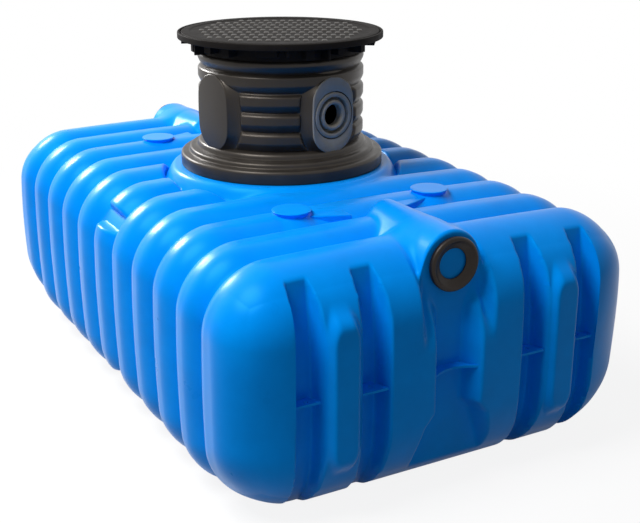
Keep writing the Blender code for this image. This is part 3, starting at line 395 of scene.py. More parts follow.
PAD_RADIUS = 0.067
PAD_X = 0.276
PAD_Y = 0.612
PAD_TOP = 0.830
PAD_STEM_RADIUS = 0.044
PAD_FOOT_DROP = 0.006
PAD_FOOT_WIDTH = 0.004
PAD_FOOT_SLOPE = 0.9
PAD_FILLET = 0.010
MANHOLE_RADIUS = 0.290
ROOF_FACING = 0.25
ROOF_FROM_Z = TANK_HEIGHT * 0.6
print("collar top at z =", round(COLLAR_Z, 4), "ridge top at z =", round(PIPE_Z + RIDGE_RADIUS, 4))


# %% Heights over the plan
def rib_presence(x, y, z):
    """0 where ribs are left out and 1 where they stand, with rounded rib ends in between."""
    on_roof = z > TANK_HEIGHT / 2
    past_collar = (np.hypot(x, y) - RIB_STOP_RADIUS) / RIB_END_ROUND
    past = np.where(on_roof & (np.abs(y) < STOPPED_RIBS_Y), past_collar, 1.0)
    notched = (np.abs(y) < RIB_PITCH / 2) & (np.abs(x) > BOX_HALF_WIDTH - TOP_EDGE_RADIUS)
    for low, high in NOTCHES:
        outside = np.maximum(low - z, z - high) / NOTCH_ROUND
        past = np.where(notched, np.minimum(past, outside), past)
    share = np.clip(past, 0.0, 1.0)
    return np.sqrt(1 - (1 - share) ** 2)


def collar_height(x, y):
    """The round collar: a level top and a sloping rim."""
    beyond = np.hypot(x, y) - COLLAR_TOP_RADIUS
    return COLLAR_Z - COLLAR_SLOPE * smooth_max(beyond, np.zeros_like(beyond), COLLAR_ROUND)


def ridge_height(x, y):
    """The low ridge over the pipe, narrower and rounded off towards the shaft, a little lower at the far end."""
    narrower = RIDGE_CROWN_HALF / np.interp(np.abs(y), RIDGE_Y, RIDGE_HALF)
    across = np.abs(x) * narrower
    level = RIDGE_RADIUS * np.interp(np.abs(y), RIDGE_BELL_Y, RIDGE_BELL)
    round_part = np.sqrt(RIDGE_RADIUS**2 - np.minimum(across, level) ** 2)
    steepness = level / np.sqrt(RIDGE_RADIUS**2 - level**2)
    flank = steepness * np.clip(across - level, 0.0, None)
    past_back = np.clip(RIDGE_BACK - np.abs(y), 0.0, None) / RIDGE_BACK_ROUND
    drop = np.where(y > 0, OUTLET_DROP, 0.0) + RIDGE_BACK_DROP * past_back**2
    return PIPE_Z + round_part - flank - drop


def pad_foot_height(x, y):
    """A small fillet round the pads' stems."""
    away = np.hypot(np.abs(x) - PAD_X, np.abs(y) - PAD_Y)
    return PAD_TOP - PAD_FOOT_DROP - PAD_FOOT_SLOPE * np.clip(away - PAD_STEM_RADIUS - PAD_FOOT_WIDTH, 0.0, None)


# %% Points of the finished shell
def roof_features(points, outward):
    """Raises the roof's points to the collar, the ridges and the pads' feet."""
    x, y, z = points.T
    raised = smooth_max(z, collar_height(x, y), COLLAR_FILLET)
    raised = smooth_max(raised, pad_foot_height(x, y), PAD_FILLET)
    fillet = np.interp(np.abs(y), RIDGE_FILLET_Y, RIDGE_FILLET)
    raised = smooth_max(raised, ridge_height(x, y), fillet)
    on_roof = (outward[:, 1] > ROOF_FACING) & (z > ROOF_FROM_Z)
    points[:, 2] = np.where(on_roof, raised, z)
    return points


def shell_points(box_points):
    """Points on the finished shell: ribs, notches and what stands on the roof."""
    points, outward = envelope(box_points)
    x, y, z = points.T
    rib = (RIB_DEPTH - groove_depth(y)) * np.where(np.abs(y) < BARREL_HALF, rib_presence(x, y, z), 1.0)
    points[:, [0, 2]] -= outward * (RIB_DEPTH - rib)[:, None]
    return roof_features(points, outward)


# %% [markdown]
# ## The skins
# The barrel is one grid round the cross-section, open at both ends. It is cut at the side walls into a roof skin,
# which needs small quads for the collar and the pads, and a hull skin for the sides and the floor. The cut
# lies where the wall is straight, because there the shading of the two edges agrees.

# %% Barrel skins
FINE_STEP = 0.005
SIDE_STEP = 0.010
ROWS_PER_RIB = 28
CUT_Z = 0.520
FINE_HALF = 0.500


def spaced(start, stop, step):
    """Evenly spaced values from start to stop, with about the given step."""
    return np.linspace(start, stop, max(2, round(abs(stop - start) / step) + 1))


barrel_rows = np.linspace(-BARREL_HALF, BARREL_HALF, RIB_COUNT * ROWS_PER_RIB + 1)


def barrel_skin(name, path):
    """A skin along the whole barrel over a part of the cross-section, left open at the manhole."""
    points = shell_points([(x, y, z) for y in barrel_rows for x, z in path])
    faces = grid_faces(len(barrel_rows), len(path))
    middles = points[faces].mean(1)
    over_manhole = (np.hypot(middles[:, 0], middles[:, 1]) < MANHOLE_RADIUS) & (middles[:, 2] > TANK_HEIGHT / 2)
    return mesh_object(name, points, faces[~over_manhole], blue_plastic, sharp_degrees=75)


side_up = [(BOX_HALF_WIDTH, z) for z in spaced(CUT_Z, BOX_HEIGHT, SIDE_STEP)]
outer_roof = [(x, BOX_HEIGHT) for x in spaced(BOX_HALF_WIDTH, FINE_HALF, SIDE_STEP)[1:-1]]
inner_roof = [(x, BOX_HEIGHT) for x in spaced(FINE_HALF, -FINE_HALF, FINE_STEP)]
left_half = [(-x, z) for x, z in (side_up + outer_roof)[::-1]]
roof_path = side_up + outer_roof + inner_roof + left_half
side_down = [(-BOX_HALF_WIDTH, z) for z in spaced(CUT_Z, 0.0, SIDE_STEP)]
floor_across = [(x, 0.0) for x in spaced(-BOX_HALF_WIDTH, BOX_HALF_WIDTH, SIDE_STEP)[1:-1]]
hull_path = side_down + floor_across + [(-x, z) for x, z in side_down[::-1]]
roof_skin = barrel_skin("roof_skin", roof_path[::-1])
hull_skin = barrel_skin("hull_skin", hull_path[::-1])

# %% [markdown]
# ## The ends
# An end is a bowl with four upright flutes, which stiffen it, a flat rib between each pair, and in the middle a
# channel for the pipe. Flutes and channel are cut from the front to a floor that leans back above and below, so
# they run out where the end's edge turns away. The channel is narrow in the middle and widens to a foot, so its
# half width is listed over the height.

# %% Sizes of an end
FLUTE_DEPTH = 0.078
FLUTE_LEAN_UP = 0.044
FLUTE_LEAN_DOWN = 0.090
FLUTE_MIDDLE_Z = 0.410
FLUTE_HALF_HEIGHT = 0.390
FLUTE_FLANK = 0.016
INNER_FLUTE_X = 0.300
OUTER_FLUTE_X = 0.520
FLUTE_WIDTH = 0.104
END_RIB_X = 0.412
END_RIB_HALF = 0.056
END_RIB_INSET = 0.010
END_RIB_FRONT = END_Y + 0.0136
END_RIB_TOP = 0.660
END_RIB_BOTTOM = 0.195
END_RIB_SLOPE = 1.4
END_RIB_SIDE = 2.2
END_RIB_CORNER = 0.065
END_RIB_BLEND = 0.022
END_RIB_CLEAR = 0.745
END_RIB_CUT = 8.0
END_FOOT_DEPTH = 0.016
END_FOOT_CLEAR = 0.040
END_FOOT_MARGIN = 0.010
END_FOOT_Z = (0.230, 0.120)
END_RIB_FILLET = 0.018
CHANNEL_DEPTH = 0.072
CHANNEL_FLANK = 0.036
CHANNEL_Z = (0.050, 0.098, 0.154, 0.246, 0.290, 0.556, 0.600, 0.640, 0.731, 0.800)
CHANNEL_HALF = (0.180, 0.172, 0.156, 0.123, 0.088, 0.090, 0.119, 0.138, 0.150, 0.145)
END_FILLET = 0.010
print("an end's plane at y =", round(END_Y, 4), "its ribs' front at y =", round(END_RIB_FRONT, 4))


# %% Form of an end
def soft_floor(slope, blend=0.16):
    """Levels a rising slope off at 1, with a round bend."""
    return -smooth_max(-slope, -np.ones_like(slope), blend)


def end_recess(x, z):
    """How deep the flutes and the pipe channel lie behind the end's foremost plane, negative beside them."""
    x = np.abs(x)
    lean = (z - FLUTE_MIDDLE_Z) / FLUTE_HALF_HEIGHT
    depth = FLUTE_DEPTH + np.where(lean > 0, FLUTE_LEAN_UP * lean**2, FLUTE_LEAN_DOWN * lean**4)
    half = np.interp(z, CHANNEL_Z, CHANNEL_HALF)
    recess = CHANNEL_DEPTH * soft_floor((half - x) / CHANNEL_FLANK)
    foot = (END_FOOT_DEPTH + END_FOOT_CLEAR) * smooth_step(*END_FOOT_Z, z) - END_FOOT_CLEAR
    foot_side = soft_floor((END_RIB_HALF + END_FOOT_MARGIN - np.abs(x - END_RIB_X)) / FLUTE_FLANK)
    recess = np.maximum(recess, np.minimum(foot, FLUTE_DEPTH * foot_side))
    for middle in (INNER_FLUTE_X, OUTER_FLUTE_X):
        beside = (FLUTE_WIDTH / 2 - np.abs(x - middle)) / FLUTE_FLANK
        recess = np.maximum(recess, depth * soft_floor(beside))
    return recess


def end_rib(x, z):
    """The plane of the flat upright ribs, which slopes back all round from an outline with round corners.

    Distances beside the outline count more than those past it, so the flanks are steeper than the ends.
    """
    past = np.maximum(z - END_RIB_TOP, END_RIB_BOTTOM - z)
    beside = END_RIB_SIDE * (np.abs(np.abs(x) - END_RIB_X) - END_RIB_HALF + END_RIB_INSET)
    rounded = np.hypot(np.clip(beside + END_RIB_CORNER, 0.0, None), np.clip(past + END_RIB_CORNER, 0.0, None))
    outside = rounded + np.clip(np.maximum(beside, past) + END_RIB_CORNER, None, 0.0) - END_RIB_CORNER
    back = END_RIB_SLOPE * smooth_max(outside, 0.0 * outside, END_RIB_BLEND)
    return END_RIB_FRONT - back - END_RIB_CUT * np.clip(z - END_RIB_CLEAR, 0.0, None)


def end_face(points):
    """Presses the end's features into points of the plain, rounded end."""
    x, y, z = points.T
    reach = np.abs(y)
    reach = smooth_max(reach, end_rib(x, z), END_RIB_FILLET)
    floor = END_Y - end_recess(x, z)
    points[:, 1] = np.sign(y) * -smooth_max(-reach, -floor, END_FILLET)
    return points


# %% [markdown]
# ## The skins of the ends
# The skin of an end is a ring from the barrel's last groove to the end's edge and a face within it. Both are grids
# that share one formula. The face's upper rows are drawn up under the ridge, and the ring's last points follow
# them, so a weld closes the seam.

# %% Edge under the ridge
END_STEP_X = 0.005
END_STEP_Z = 0.007
HOUSING_Y = END_Y - CHANNEL_DEPTH + 0.004
FRONT_ROUND = 0.012
RIDGE_ROWS_FROM = 0.500
RIDGE_MASK = (0.140, 0.104)
ROW_CROWDING = 1.5
RING_STEP = 0.006
WELD_DISTANCE = 0.0004


def raise_front(face, side):
    """Under the ridge, draws the face's upper rows up to the ridge and round its front edge."""
    x = face[-1, :, 0]
    top = ridge_height(x, np.full_like(x, side * HOUSING_Y))
    mask = smooth_step(*RIDGE_MASK, np.abs(x))
    height = face[:, :, 2]
    share = np.clip((height - RIDGE_ROWS_FROM) / (face[-1, :, 2] - RIDGE_ROWS_FROM), 0.0, 1.0)
    quarter = FRONT_ROUND * math.pi / 2
    straight = top - FRONT_ROUND - RIDGE_ROWS_FROM
    travel = (quarter + straight) * (1 - share) ** ROW_CROWDING
    turn = np.clip(travel / FRONT_ROUND, 0.0, math.pi / 2)
    z = np.where(travel < quarter, top - FRONT_ROUND * (1 - np.cos(turn)), top - FRONT_ROUND - (travel - quarter))
    y = side * (HOUSING_Y - FRONT_ROUND * (1 - np.sin(turn)))
    moved_rows = (share > 0) & (mask > 0)
    blend = np.where(moved_rows, mask, 0.0)
    face[:, :, 2] = height + (z - height) * blend
    face[:, :, 1] += (y - face[:, :, 1]) * blend * smooth_step(0.0, 0.5, share)
    return face


# %% End skins
def tank_end(name, side, replaced):
    """The skin of one end, -1 for the front and 1 for the back."""
    columns = spaced(-BOX_HALF_WIDTH, BOX_HALF_WIDTH, END_STEP_X)
    rows = spaced(0.0, BOX_HEIGHT, END_STEP_Z)
    loop = [(x, rows[0]) for x in columns[:-1]] + [(columns[-1], z) for z in rows[:-1]]
    loop += [(x, rows[-1]) for x in columns[:0:-1]] + [(columns[0], z) for z in rows[:0:-1]]
    stations = spaced(BARREL_HALF, BOX_HALF_LENGTH, RING_STEP)
    ring_points = end_face(shell_points([(x, side * station, z) for station in stations for x, z in loop]))
    face_box = [(x, side * BOX_HALF_LENGTH, z) for z in rows for x in columns]
    face = end_face(envelope(face_box)[0]).reshape(len(rows), len(columns), 3)
    face = raise_front(face, side)
    ring_grid = ring_points.reshape(len(stations), len(loop), 3)
    top_start = len(columns) - 1 + len(rows) - 1
    top_row = face[-1, ::-1]
    last = ring_grid[:, top_start : top_start + len(columns)]
    pull = np.linspace(0, 1, len(stations)) ** 3
    last += (top_row - last[-1])[None, :, :] * pull[:, None, None]
    ring = (ring_grid.reshape(-1, 3), grid_faces(len(stations), len(loop), wrap=True))
    points, faces = joined([ring, (face.reshape(-1, 3), grid_faces(len(rows), len(columns)))])
    if side > 0:
        faces = faces[:, ::-1]
    made = mesh_object(name, points, faces, blue_plastic, sharp_degrees=75)
    weld = made.modifiers.new("weld_rim", "WELD")
    weld.merge_threshold = WELD_DISTANCE
    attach(made, "tank")
    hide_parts(*replaced)


tank_end("front_end_skin", -1, ["front_end"])
tank_end("back_end_skin", 1, ["back_end"])
for skin, nodes in (
    (roof_skin, ["roof_front", "roof_deck", "roof_back"]),
    (hull_skin, ["left_wall", "right_wall", "floor_wall"]),
):
    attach(skin, "tank")
    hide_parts(*nodes)

# %% [markdown]
# ## Stacking pads
# A pad is a flat disc on a cone that narrows towards the rib. It is turned as on a lathe and sunk a little into the
# roof.

# %% Pads
pad_profile = [(PAD_STEM_RADIUS, PAD_TOP - 0.075), (PAD_STEM_RADIUS + 0.002, PAD_TOP - 0.050)]
pad_profile += [(PAD_RADIUS - 0.003, PAD_TOP - 0.005)] + arc((PAD_RADIUS - 0.003, PAD_TOP - 0.003), 0.003, 0, 90)
pad_profile += [(PAD_RADIUS * share, PAD_TOP) for share in (0.7, 0.35, 0.02)]
pads = []
for x in (-PAD_X, PAD_X):
    for y in (-PAD_Y, PAD_Y):
        pads.append(moved(turned(pad_profile, 64), Matrix.Translation((x, y, 0.0))))
stacking_pads = mesh_object("stacking_pads", *joined(pads), blue_plastic, sharp_degrees=35)
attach(stacking_pads, "tank")

# %% [markdown]
# ## Ledges
# A ledge is a level slab that stiffens the groove between a pad's stem and the ridge. Its corners are known, so it
# is a prism over a plan, and a bevel rounds its edges as a mould does. The plan is mirrored to the four corners of
# the roof, and turned round where mirroring would turn its faces inside out.

# %% Ledges
LEDGE_TOP = 0.8110
LEDGE_THICKNESS = 0.030
LEDGE_PLAN = ((0.100, 0.600), (0.100, 0.712), (0.250, 0.652), (0.262, 0.640), (0.262, 0.600))
LEDGE_BEVEL = 0.004


def prism(plan, low, high):
    """Points and faces of an upright prism over a plan of (x, y)."""
    count = len(plan)
    points = [(x, y, z) for z in (low, high) for x, y in plan]
    sides = [(i, (i + 1) % count, (i + 1) % count + count, i + count) for i in range(count)]
    return points, sides + [tuple(range(count, 2 * count)), tuple(range(count))[::-1]]


def bevelled_object(name, pieces, finish, bevel):
    """An object from (points, faces) pairs whose faces may have any number of corners, with rounded edges."""
    points, faces = [], []
    for piece_points, piece_faces in pieces:
        faces += [[corner + len(points) for corner in face] for face in piece_faces]
        points += list(piece_points)
    made = smooth_object(name, points, faces, finish)
    rounding = made.modifiers.new("rounded_edges", "BEVEL")
    rounding.width = bevel
    rounding.segments = 3
    rounding.limit_method = "ANGLE"
    return made


ledge_parts = []
for side_x in (-1, 1):
    for side_y in (-1, 1):
        plan = [(side_x * x, side_y * y) for x, y in LEDGE_PLAN]
        if side_x * side_y > 0:
            plan = plan[::-1]
        ledge_parts.append(prism(plan, LEDGE_TOP - LEDGE_THICKNESS, LEDGE_TOP))
ledges = bevelled_object("roof_ledges", ledge_parts, blue_plastic, LEDGE_BEVEL)
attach(ledges, "tank")

# %% [markdown]
# ## The shaft's foot
# The foot is turned: a flat rim on the collar, a step, and a neck that ends in a rounded shoulder. The rounded
# edges matter more than the flats, because they carry the bright lines that show where the steps are.

# %% Shaft foot
foot_low = float(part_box("shaft_foot")[0][2])
SHAFT_Z = float(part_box("shaft_body")[0][2])
SHAFT_TOP_Z = float(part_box("shaft_body")[1][2])
SHAFT_BORE = 0.292
LARGE_TURN_STEPS = 192
foot_profile = [(SHAFT_BORE, foot_low), (0.386, foot_low)]
foot_profile += [(0.3875, foot_low + 0.0015), (0.388, foot_low + 0.004)]
foot_profile += arc((0.375, foot_low + 0.037), 0.013, 0, 90, 10)
foot_profile += [(0.3600, foot_low + 0.0503), (0.3570, foot_low + 0.0515), (0.3552, foot_low + 0.0540)]
foot_profile += arc((0.3430, foot_low + 0.0585), 0.0120, 5, 86, 8)
foot_profile += [(0.3330, foot_low + 0.0709), (0.3285, foot_low + 0.0722), (0.3250, foot_low + 0.0753)]
foot_profile += [(SHAFT_BORE, foot_low + 0.0753), (SHAFT_BORE, foot_low)]
points, faces = turned(foot_profile, LARGE_TURN_STEPS)
shaft_foot = mesh_object("shaft_foot_turned", points, faces, black_plastic, sharp_degrees=50)
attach(shaft_foot, "tank")
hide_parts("shaft_foot")

# %% [markdown]
# ## The corrugated shaft
# The shaft is a tube whose radius changes with height and angle: two full rings above, three ribs between the port
# plates below. A grid of heights and angles holds the outside and the bore in one mesh. Grooves part the ribs, so
# the radius is counted from the nearest groove. Below a groove stands the round shoulder of a rib, and above it a
# longer slope, which lies in shadow. The ribs end in round ends before the plates.

# %% Sizes of the tube
SHAFT_TURN = math.radians(10)
SHAFT_CROWN = 0.3135
SHAFT_SWELL = 0.0150
GROOVE_PITCH = 0.0697
GROOVES = [1.212 - GROOVE_PITCH * index for index in range(5)]
RING_TOP = 1.266
UPPER_CHAMFER = 0.014
RING_ROUND = 0.020
LOWER_TAPER = 0.030
UPPER_ROUND = 2.0
LOWER_ROUND = 1.3
PORT_Z = 1.058
PORT_HALF_WIDTH = 0.095
PORT_HALF_HEIGHT = 0.140
PORT_FACE = 0.316
PORT_HOLE = 0.0860
PORT_MARGIN = 0.003
HOLE_EDGE = 0.002
RIB_END_FROM = 0.030
RIB_END_ROUND_LENGTH = 0.014
NECK_Z = (0.9075, 0.911, 0.918, 0.9235, 0.928, 0.931, 0.9332)
NECK_RADIUS = (0.3250, 0.3232, 0.3222, 0.3195, 0.3145, 0.3070, 0.2985)
TUBE_COLUMNS = 520
NECK_STEP = 0.003
RIB_STEP = 0.0027
BORE_STEP = 0.02
print("grooves at z =", [round(groove, 4) for groove in GROOVES])


# %% Radius of the tube
def from_plate(turn, z, radius):
    """Distance from the outline of the nearest port plate, over the surface of the tube."""
    off_plate = np.mod(turn + math.pi / 4, math.pi / 2) - math.pi / 4
    beside = radius * np.sin(off_plate)
    beyond = np.clip(np.abs(z - PORT_Z) - (PORT_HALF_HEIGHT - PORT_HALF_WIDTH), 0.0, None)
    return np.hypot(beside, beyond) - PORT_HALF_WIDTH


def tube_radius(turn, z):
    """The outside radius of the tube at an angle and a height."""
    rise = np.ones_like(z)
    for index, groove in enumerate([RING_TOP, *GROOVES]):
        chamfer = RING_ROUND if index == 0 else UPPER_CHAMFER
        under = 1 - (1 - np.clip((groove - z) / chamfer, 0.0, 1.0)) ** UPPER_ROUND
        over = 1 - (1 - np.clip((z - groove) / LOWER_TAPER, 0.0, 1.0)) ** LOWER_ROUND
        rise = np.minimum(rise, np.where(z < groove, under, over))
    ended = np.clip((from_plate(turn, z, SHAFT_CROWN) - RIB_END_FROM) / RIB_END_ROUND_LENGTH, 0.0, 1.0)
    ended = np.where(z > GROOVES[1], 1.0, np.sqrt(1 - (1 - ended) ** 2))
    radius = SHAFT_CROWN - SHAFT_SWELL + SHAFT_SWELL * rise * ended
    return np.where(z < GROOVES[-1], np.interp(z, NECK_Z, NECK_RADIUS), radius)


# %% Corrugated tube
tube_turns = np.linspace(0, 2 * math.pi, TUBE_COLUMNS, endpoint=False)
neck_heights = spaced(SHAFT_Z, GROOVES[-1], NECK_STEP)
tube_heights = np.concatenate([neck_heights, spaced(GROOVES[-1], SHAFT_TOP_Z, RIB_STEP)[1:]])
turn_grid, height_grid = np.meshgrid(tube_turns, tube_heights)
radius_grid = tube_radius(turn_grid, height_grid)
bore_heights = spaced(SHAFT_TOP_Z, SHAFT_Z, BORE_STEP)
turn_grid = np.vstack([turn_grid, np.repeat(tube_turns[None, :], len(bore_heights), 0)])
height_grid = np.vstack([height_grid, np.repeat(bore_heights[:, None], len(tube_turns), 1)])
radius_grid = np.vstack([radius_grid, np.full((len(bore_heights), len(tube_turns)), SHAFT_BORE)])
facing = turn_grid + SHAFT_TURN - math.pi / 2
tube_points = np.stack([radius_grid * np.cos(facing), radius_grid * np.sin(facing), height_grid], 2).reshape(-1, 3)
tube_faces = grid_faces(len(height_grid), len(tube_turns), wrap=True)
port_turn = Matrix.Rotation(SHAFT_TURN, 4, "Z")
local = tube_points[tube_faces].mean(1) @ np.array(port_turn.to_3x3())
in_port = (np.hypot(local[:, 0], local[:, 2] - PORT_Z) < PORT_HOLE + PORT_MARGIN) & (local[:, 1] < 0)
corrugated_tube = mesh_object("corrugated_tube", tube_points, tube_faces[~in_port], black_plastic, sharp_degrees=60)
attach(corrugated_tube, "tank")

# %% [markdown]
# ## The port plates
# A plate is flat, so that a pipe seal can sit on it, while the tube is round. Its mesh is a set of rings with the
# outline of a stadium: rings inside the outline lie in the plate's plane, and rings outside it dive down to the
# tube in a hollow flare. On the plate at the front the inner rings turn into the wall of the port, and its level
# part is painted paler: painted light on that face.

# %% Rings of a plate
PLATE_EDGE = 0.004
EDGE_RINGS = 5
FLARE_WIDTH = 0.034
FLARE_RINGS = 12
FLARE_HOLLOW = 2.2
FLARE_TUBE = 0.2985
PLATE_STEPS = 128
MILLED_RINGS = 7


def stadium(offset):
    """Points (x, z) round a plate's outline, moved outwards by an offset."""
    turns = np.linspace(0, 2 * math.pi, PLATE_STEPS, endpoint=False)
    radius = PORT_HALF_WIDTH + offset
    straight = (PORT_HALF_HEIGHT - PORT_HALF_WIDTH) * np.clip(np.sin(turns) * 4, -1, 1)
    return radius * np.cos(turns), radius * np.sin(turns) + straight


def plate_rings(open_port):
    """Points and faces of a port plate in front of the tube, closed or with a round hole."""
    rings = []
    if open_port:
        turns = np.linspace(0, 2 * math.pi, PLATE_STEPS, endpoint=False)
        hole_wall = [(PORT_HOLE, SHAFT_BORE - 0.001), (PORT_HOLE, PORT_FACE - HOLE_EDGE)]
        for radius, depth in (*hole_wall, (PORT_HOLE + HOLE_EDGE, PORT_FACE)):
            rings.append((radius * np.cos(turns), radius * np.sin(turns), np.full(PLATE_STEPS, depth)))
    else:
        rings.append((np.zeros(PLATE_STEPS), np.zeros(PLATE_STEPS), np.full(PLATE_STEPS, PORT_FACE)))
    for degrees in np.linspace(0, 90, EDGE_RINGS):
        inset = PLATE_EDGE * (1 - math.sin(math.radians(degrees)))
        drop = PLATE_EDGE * (1 - math.cos(math.radians(degrees)))
        rings.append((*stadium(-inset), np.full(PLATE_STEPS, PORT_FACE - drop)))
    for share in np.linspace(0, 1, FLARE_RINGS)[1:]:
        x, z = stadium(FLARE_WIDTH * share)
        on_tube = np.sqrt(np.clip(FLARE_TUBE**2 - x * x, 0, None))
        rings.append((x, z, on_tube + (PORT_FACE - PLATE_EDGE - on_tube) * (1 - share) ** FLARE_HOLLOW))
    points = np.concatenate([np.stack([x, -depth, z + PORT_Z], 1) for x, z, depth in rings])
    return points, grid_faces(len(rings), PLATE_STEPS, wrap=True)[:, ::-1]


# %% Port plates
plates = []
for quarter in range(4):
    turn = Matrix.Rotation(SHAFT_TURN + quarter * math.pi / 2, 4, "Z")
    plates.append(moved(plate_rings(quarter == 0), turn))
port_plates = mesh_object("port_plates", *joined(plates), black_plastic, sharp_degrees=60)
# The level part of the front plate takes the paler plastic: painted light on that face.
port_plates.data.materials.append(painted_light_plate_plastic)
for face in port_plates.data.polygons[PLATE_STEPS * 2 : PLATE_STEPS * MILLED_RINGS]:
    face.material_index = 1
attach(port_plates, "tank")
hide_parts("shaft_body")

# %% [markdown]
# ## Pipe seals
# The seal at each end has a round outer bead with a narrow flat face, a funnel that guides the pipe and a thin lip
# that grips it. The one in the shaft's plate lies flush: a flat flange, a deep gap, and a round ring about the
# pipe. A profile is turned about +Z and then laid on its seat, so each seal needs only a profile and a matrix.

# %% Seals
seal_profile = [(0.0505, 0.0), (0.0855, 0.0), (0.0872, 0.003)]
seal_profile += arc((0.0795, 0.0118), 0.009, -22, 90, 9)
seal_profile += [(0.0765, 0.0206), (0.0757, 0.0198), (0.0745, 0.0180), (0.0640, 0.0122), (0.0525, 0.0062)]
seal_profile += [(0.0503, 0.0046), (0.0495, 0.0036), (0.0495, 0.0012), (0.0505, 0.0)]
lying_down = Matrix.Rotation(math.radians(90), 4, "X")
SEAT_GAP = 0.0003
SEAT_STEP = 0.0073
PIPE_SEAT_Y = END_Y - CHANNEL_DEPTH + SEAT_STEP
flange_profile = [(0.0838, -0.0260), (0.0838, 0.0002), (0.0828, 0.0012), (0.0690, 0.0012), (0.0680, 0.0002)]
flange_profile += [(0.0675, -0.0260), (0.0565, -0.0270), (0.0562, -0.0100)]
flange_profile += arc((0.0478, -0.0060), 0.0084, 10, 170, 7)
flange_profile += [(0.0394, -0.0100), (0.0390, -0.0300), (0.0480, -0.0310), (0.0838, -0.0310), (0.0838, -0.0260)]
front_place = Matrix.Translation((0, -PIPE_SEAT_Y, PIPE_Z))
back_place = Matrix.Rotation(math.pi, 4, "Z") @ front_place
shaft_place = port_turn @ Matrix.Translation((0, -PORT_FACE - SEAT_GAP, PORT_Z))
seal_places = {
    "front_pipe_seal": (front_place, seal_profile, seal_rubber),
    "back_pipe_seal": (back_place, seal_profile, seal_rubber),
    # The shaft's seal takes the paler plastic: painted light on its face, as on the plate.
    "shaft_pipe_seal": (shaft_place, flange_profile, painted_light_plate_plastic),
}
for name, (place, profile, finish) in seal_places.items():
    points, faces = moved(turned(profile), place @ lying_down)
    seal = mesh_object(name + "_turned", points, faces, finish, sharp_degrees=50)
    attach(seal, "tank")
    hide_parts(name)

# %% [markdown]
# ## The lid's frame
# The frame is turned: a sleeve on the shaft, a broad plate and a thin rim round the lid. Under the plate hang
# brackets of different widths, which stiffen it. Each is listed by its angle, width, drop and reach, and they come
# in the same order on each quarter.

# %% Lid frame
frame_low, frame_high = (float(corner[2]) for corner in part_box("lid_frame"))
FRAME_RADIUS = float(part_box("lid_frame")[1][0])
LID_SEAT = 1.3185
PLATE_THICKNESS = 0.009
PLATE_UNDER = LID_SEAT - PLATE_THICKNESS
RIM_WIDTH = 0.009
SLEEVE_RADIUS = 0.306
FRAME_BORE = 0.298
frame_profile = [(FRAME_BORE, frame_low), (SLEEVE_RADIUS, frame_low), (SLEEVE_RADIUS, PLATE_UNDER)]
frame_profile += [(FRAME_RADIUS - 0.002, PLATE_UNDER)]
frame_profile += arc((FRAME_RADIUS - 0.002, PLATE_UNDER + 0.002), 0.002, -90, 0, 4)
frame_profile += arc((FRAME_RADIUS - 0.004, frame_high - 0.004), 0.004, 0, 90, 6)
frame_profile += [(FRAME_RADIUS - 0.008, frame_high), (FRAME_RADIUS - RIM_WIDTH, frame_high - 0.001)]
frame_profile += [(FRAME_RADIUS - RIM_WIDTH, LID_SEAT), (FRAME_BORE, LID_SEAT), (FRAME_BORE, frame_low)]
# The frame takes the lid's darker plastic, which also paints the shade under the lid.
frame_ring = mesh_object("lid_frame_turned", *turned(frame_profile, LARGE_TURN_STEPS), lid_plastic_and_painted_shade, sharp_degrees=50)
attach(frame_ring, "tank")
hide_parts("lid_frame")

# %% Brackets
BRACKETS = (
    (-45, 0.075, 0.026, 0.050),
    (-33, 0.010, 0.024, 0.066),
    (-19, 0.034, 0.042, 0.036),
    (-8, 0.008, 0.045, 0.050),
    (3, 0.038, 0.032, 0.036),
    (20, 0.030, 0.034, 0.050),
)
WIDE_BRACKET = (12, 0.160, 0.008, 0.040)
BRACKET_BEVEL = 0.0015
bracket_parts = []
for quarter in range(4):
    for degrees, width, drop, reach in (*BRACKETS, WIDE_BRACKET):
        inside, outside = SLEEVE_RADIUS - 0.002, SLEEVE_RADIUS + reach
        plan = [(inside, -width / 2), (outside, -width / 2), (outside, width / 2), (inside, width / 2)]
        angle = SHAFT_TURN - math.pi / 2 + math.radians(degrees + 90 * quarter)
        turned_plan = [
            (x * math.cos(angle) - y * math.sin(angle), x * math.sin(angle) + y * math.cos(angle)) for x, y in plan
        ]
        bracket_parts.append(prism(turned_plan, PLATE_UNDER - drop, PLATE_UNDER + 0.001))
# The brackets take the lid's darker plastic too: painted shade under the lid.
brackets = bevelled_object("frame_brackets", bracket_parts, lid_plastic_and_painted_shade, BRACKET_BEVEL)
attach(brackets, "tank")

# %% [markdown]
# ## The lid
# The lid is a turned disc with a spigot below. Its tread has raised blocks in staggered rows, so that a shoe grips
# in every direction, and the blocks are painted paler, a painted highlight. The blocks end short of a plain outer
# band. Their size is an estimate, because the photograph sees the lid at a flat angle. One block is built once and
# moved to each place.

# %% Lid
LID_RADIUS = float(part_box("lid")[1][0])
lid_low, lid_high = (float(corner[2]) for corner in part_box("lid"))
TREAD_HEIGHT = 0.0026
TREAD_Z = lid_high - TREAD_HEIGHT
TREAD_RADIUS = 0.322
BAR_LENGTH = 0.020
BAR_WIDTH = 0.034
BAR_PITCH = 0.033
ROW_PITCH = 0.066
BAR_SLOPE = 0.0036
TREAD_TURN = -28.9
TREAD_ROWS = 5
TREAD_COLUMNS = 10
lid_profile = [(0.0001, lid_low), (0.278, lid_low), (0.284, lid_low + 0.002), (0.286, LID_SEAT + SEAT_GAP)]
lid_profile += [(LID_RADIUS, LID_SEAT + SEAT_GAP), (LID_RADIUS, lid_high - 0.003)]
lid_profile += arc((LID_RADIUS - 0.003, lid_high - 0.003), 0.003, 15, 90, 5)
lid_profile += [(0.345, lid_high), (0.342, lid_high - 0.0004), (0.339, TREAD_Z + 0.0004), (0.336, TREAD_Z)]
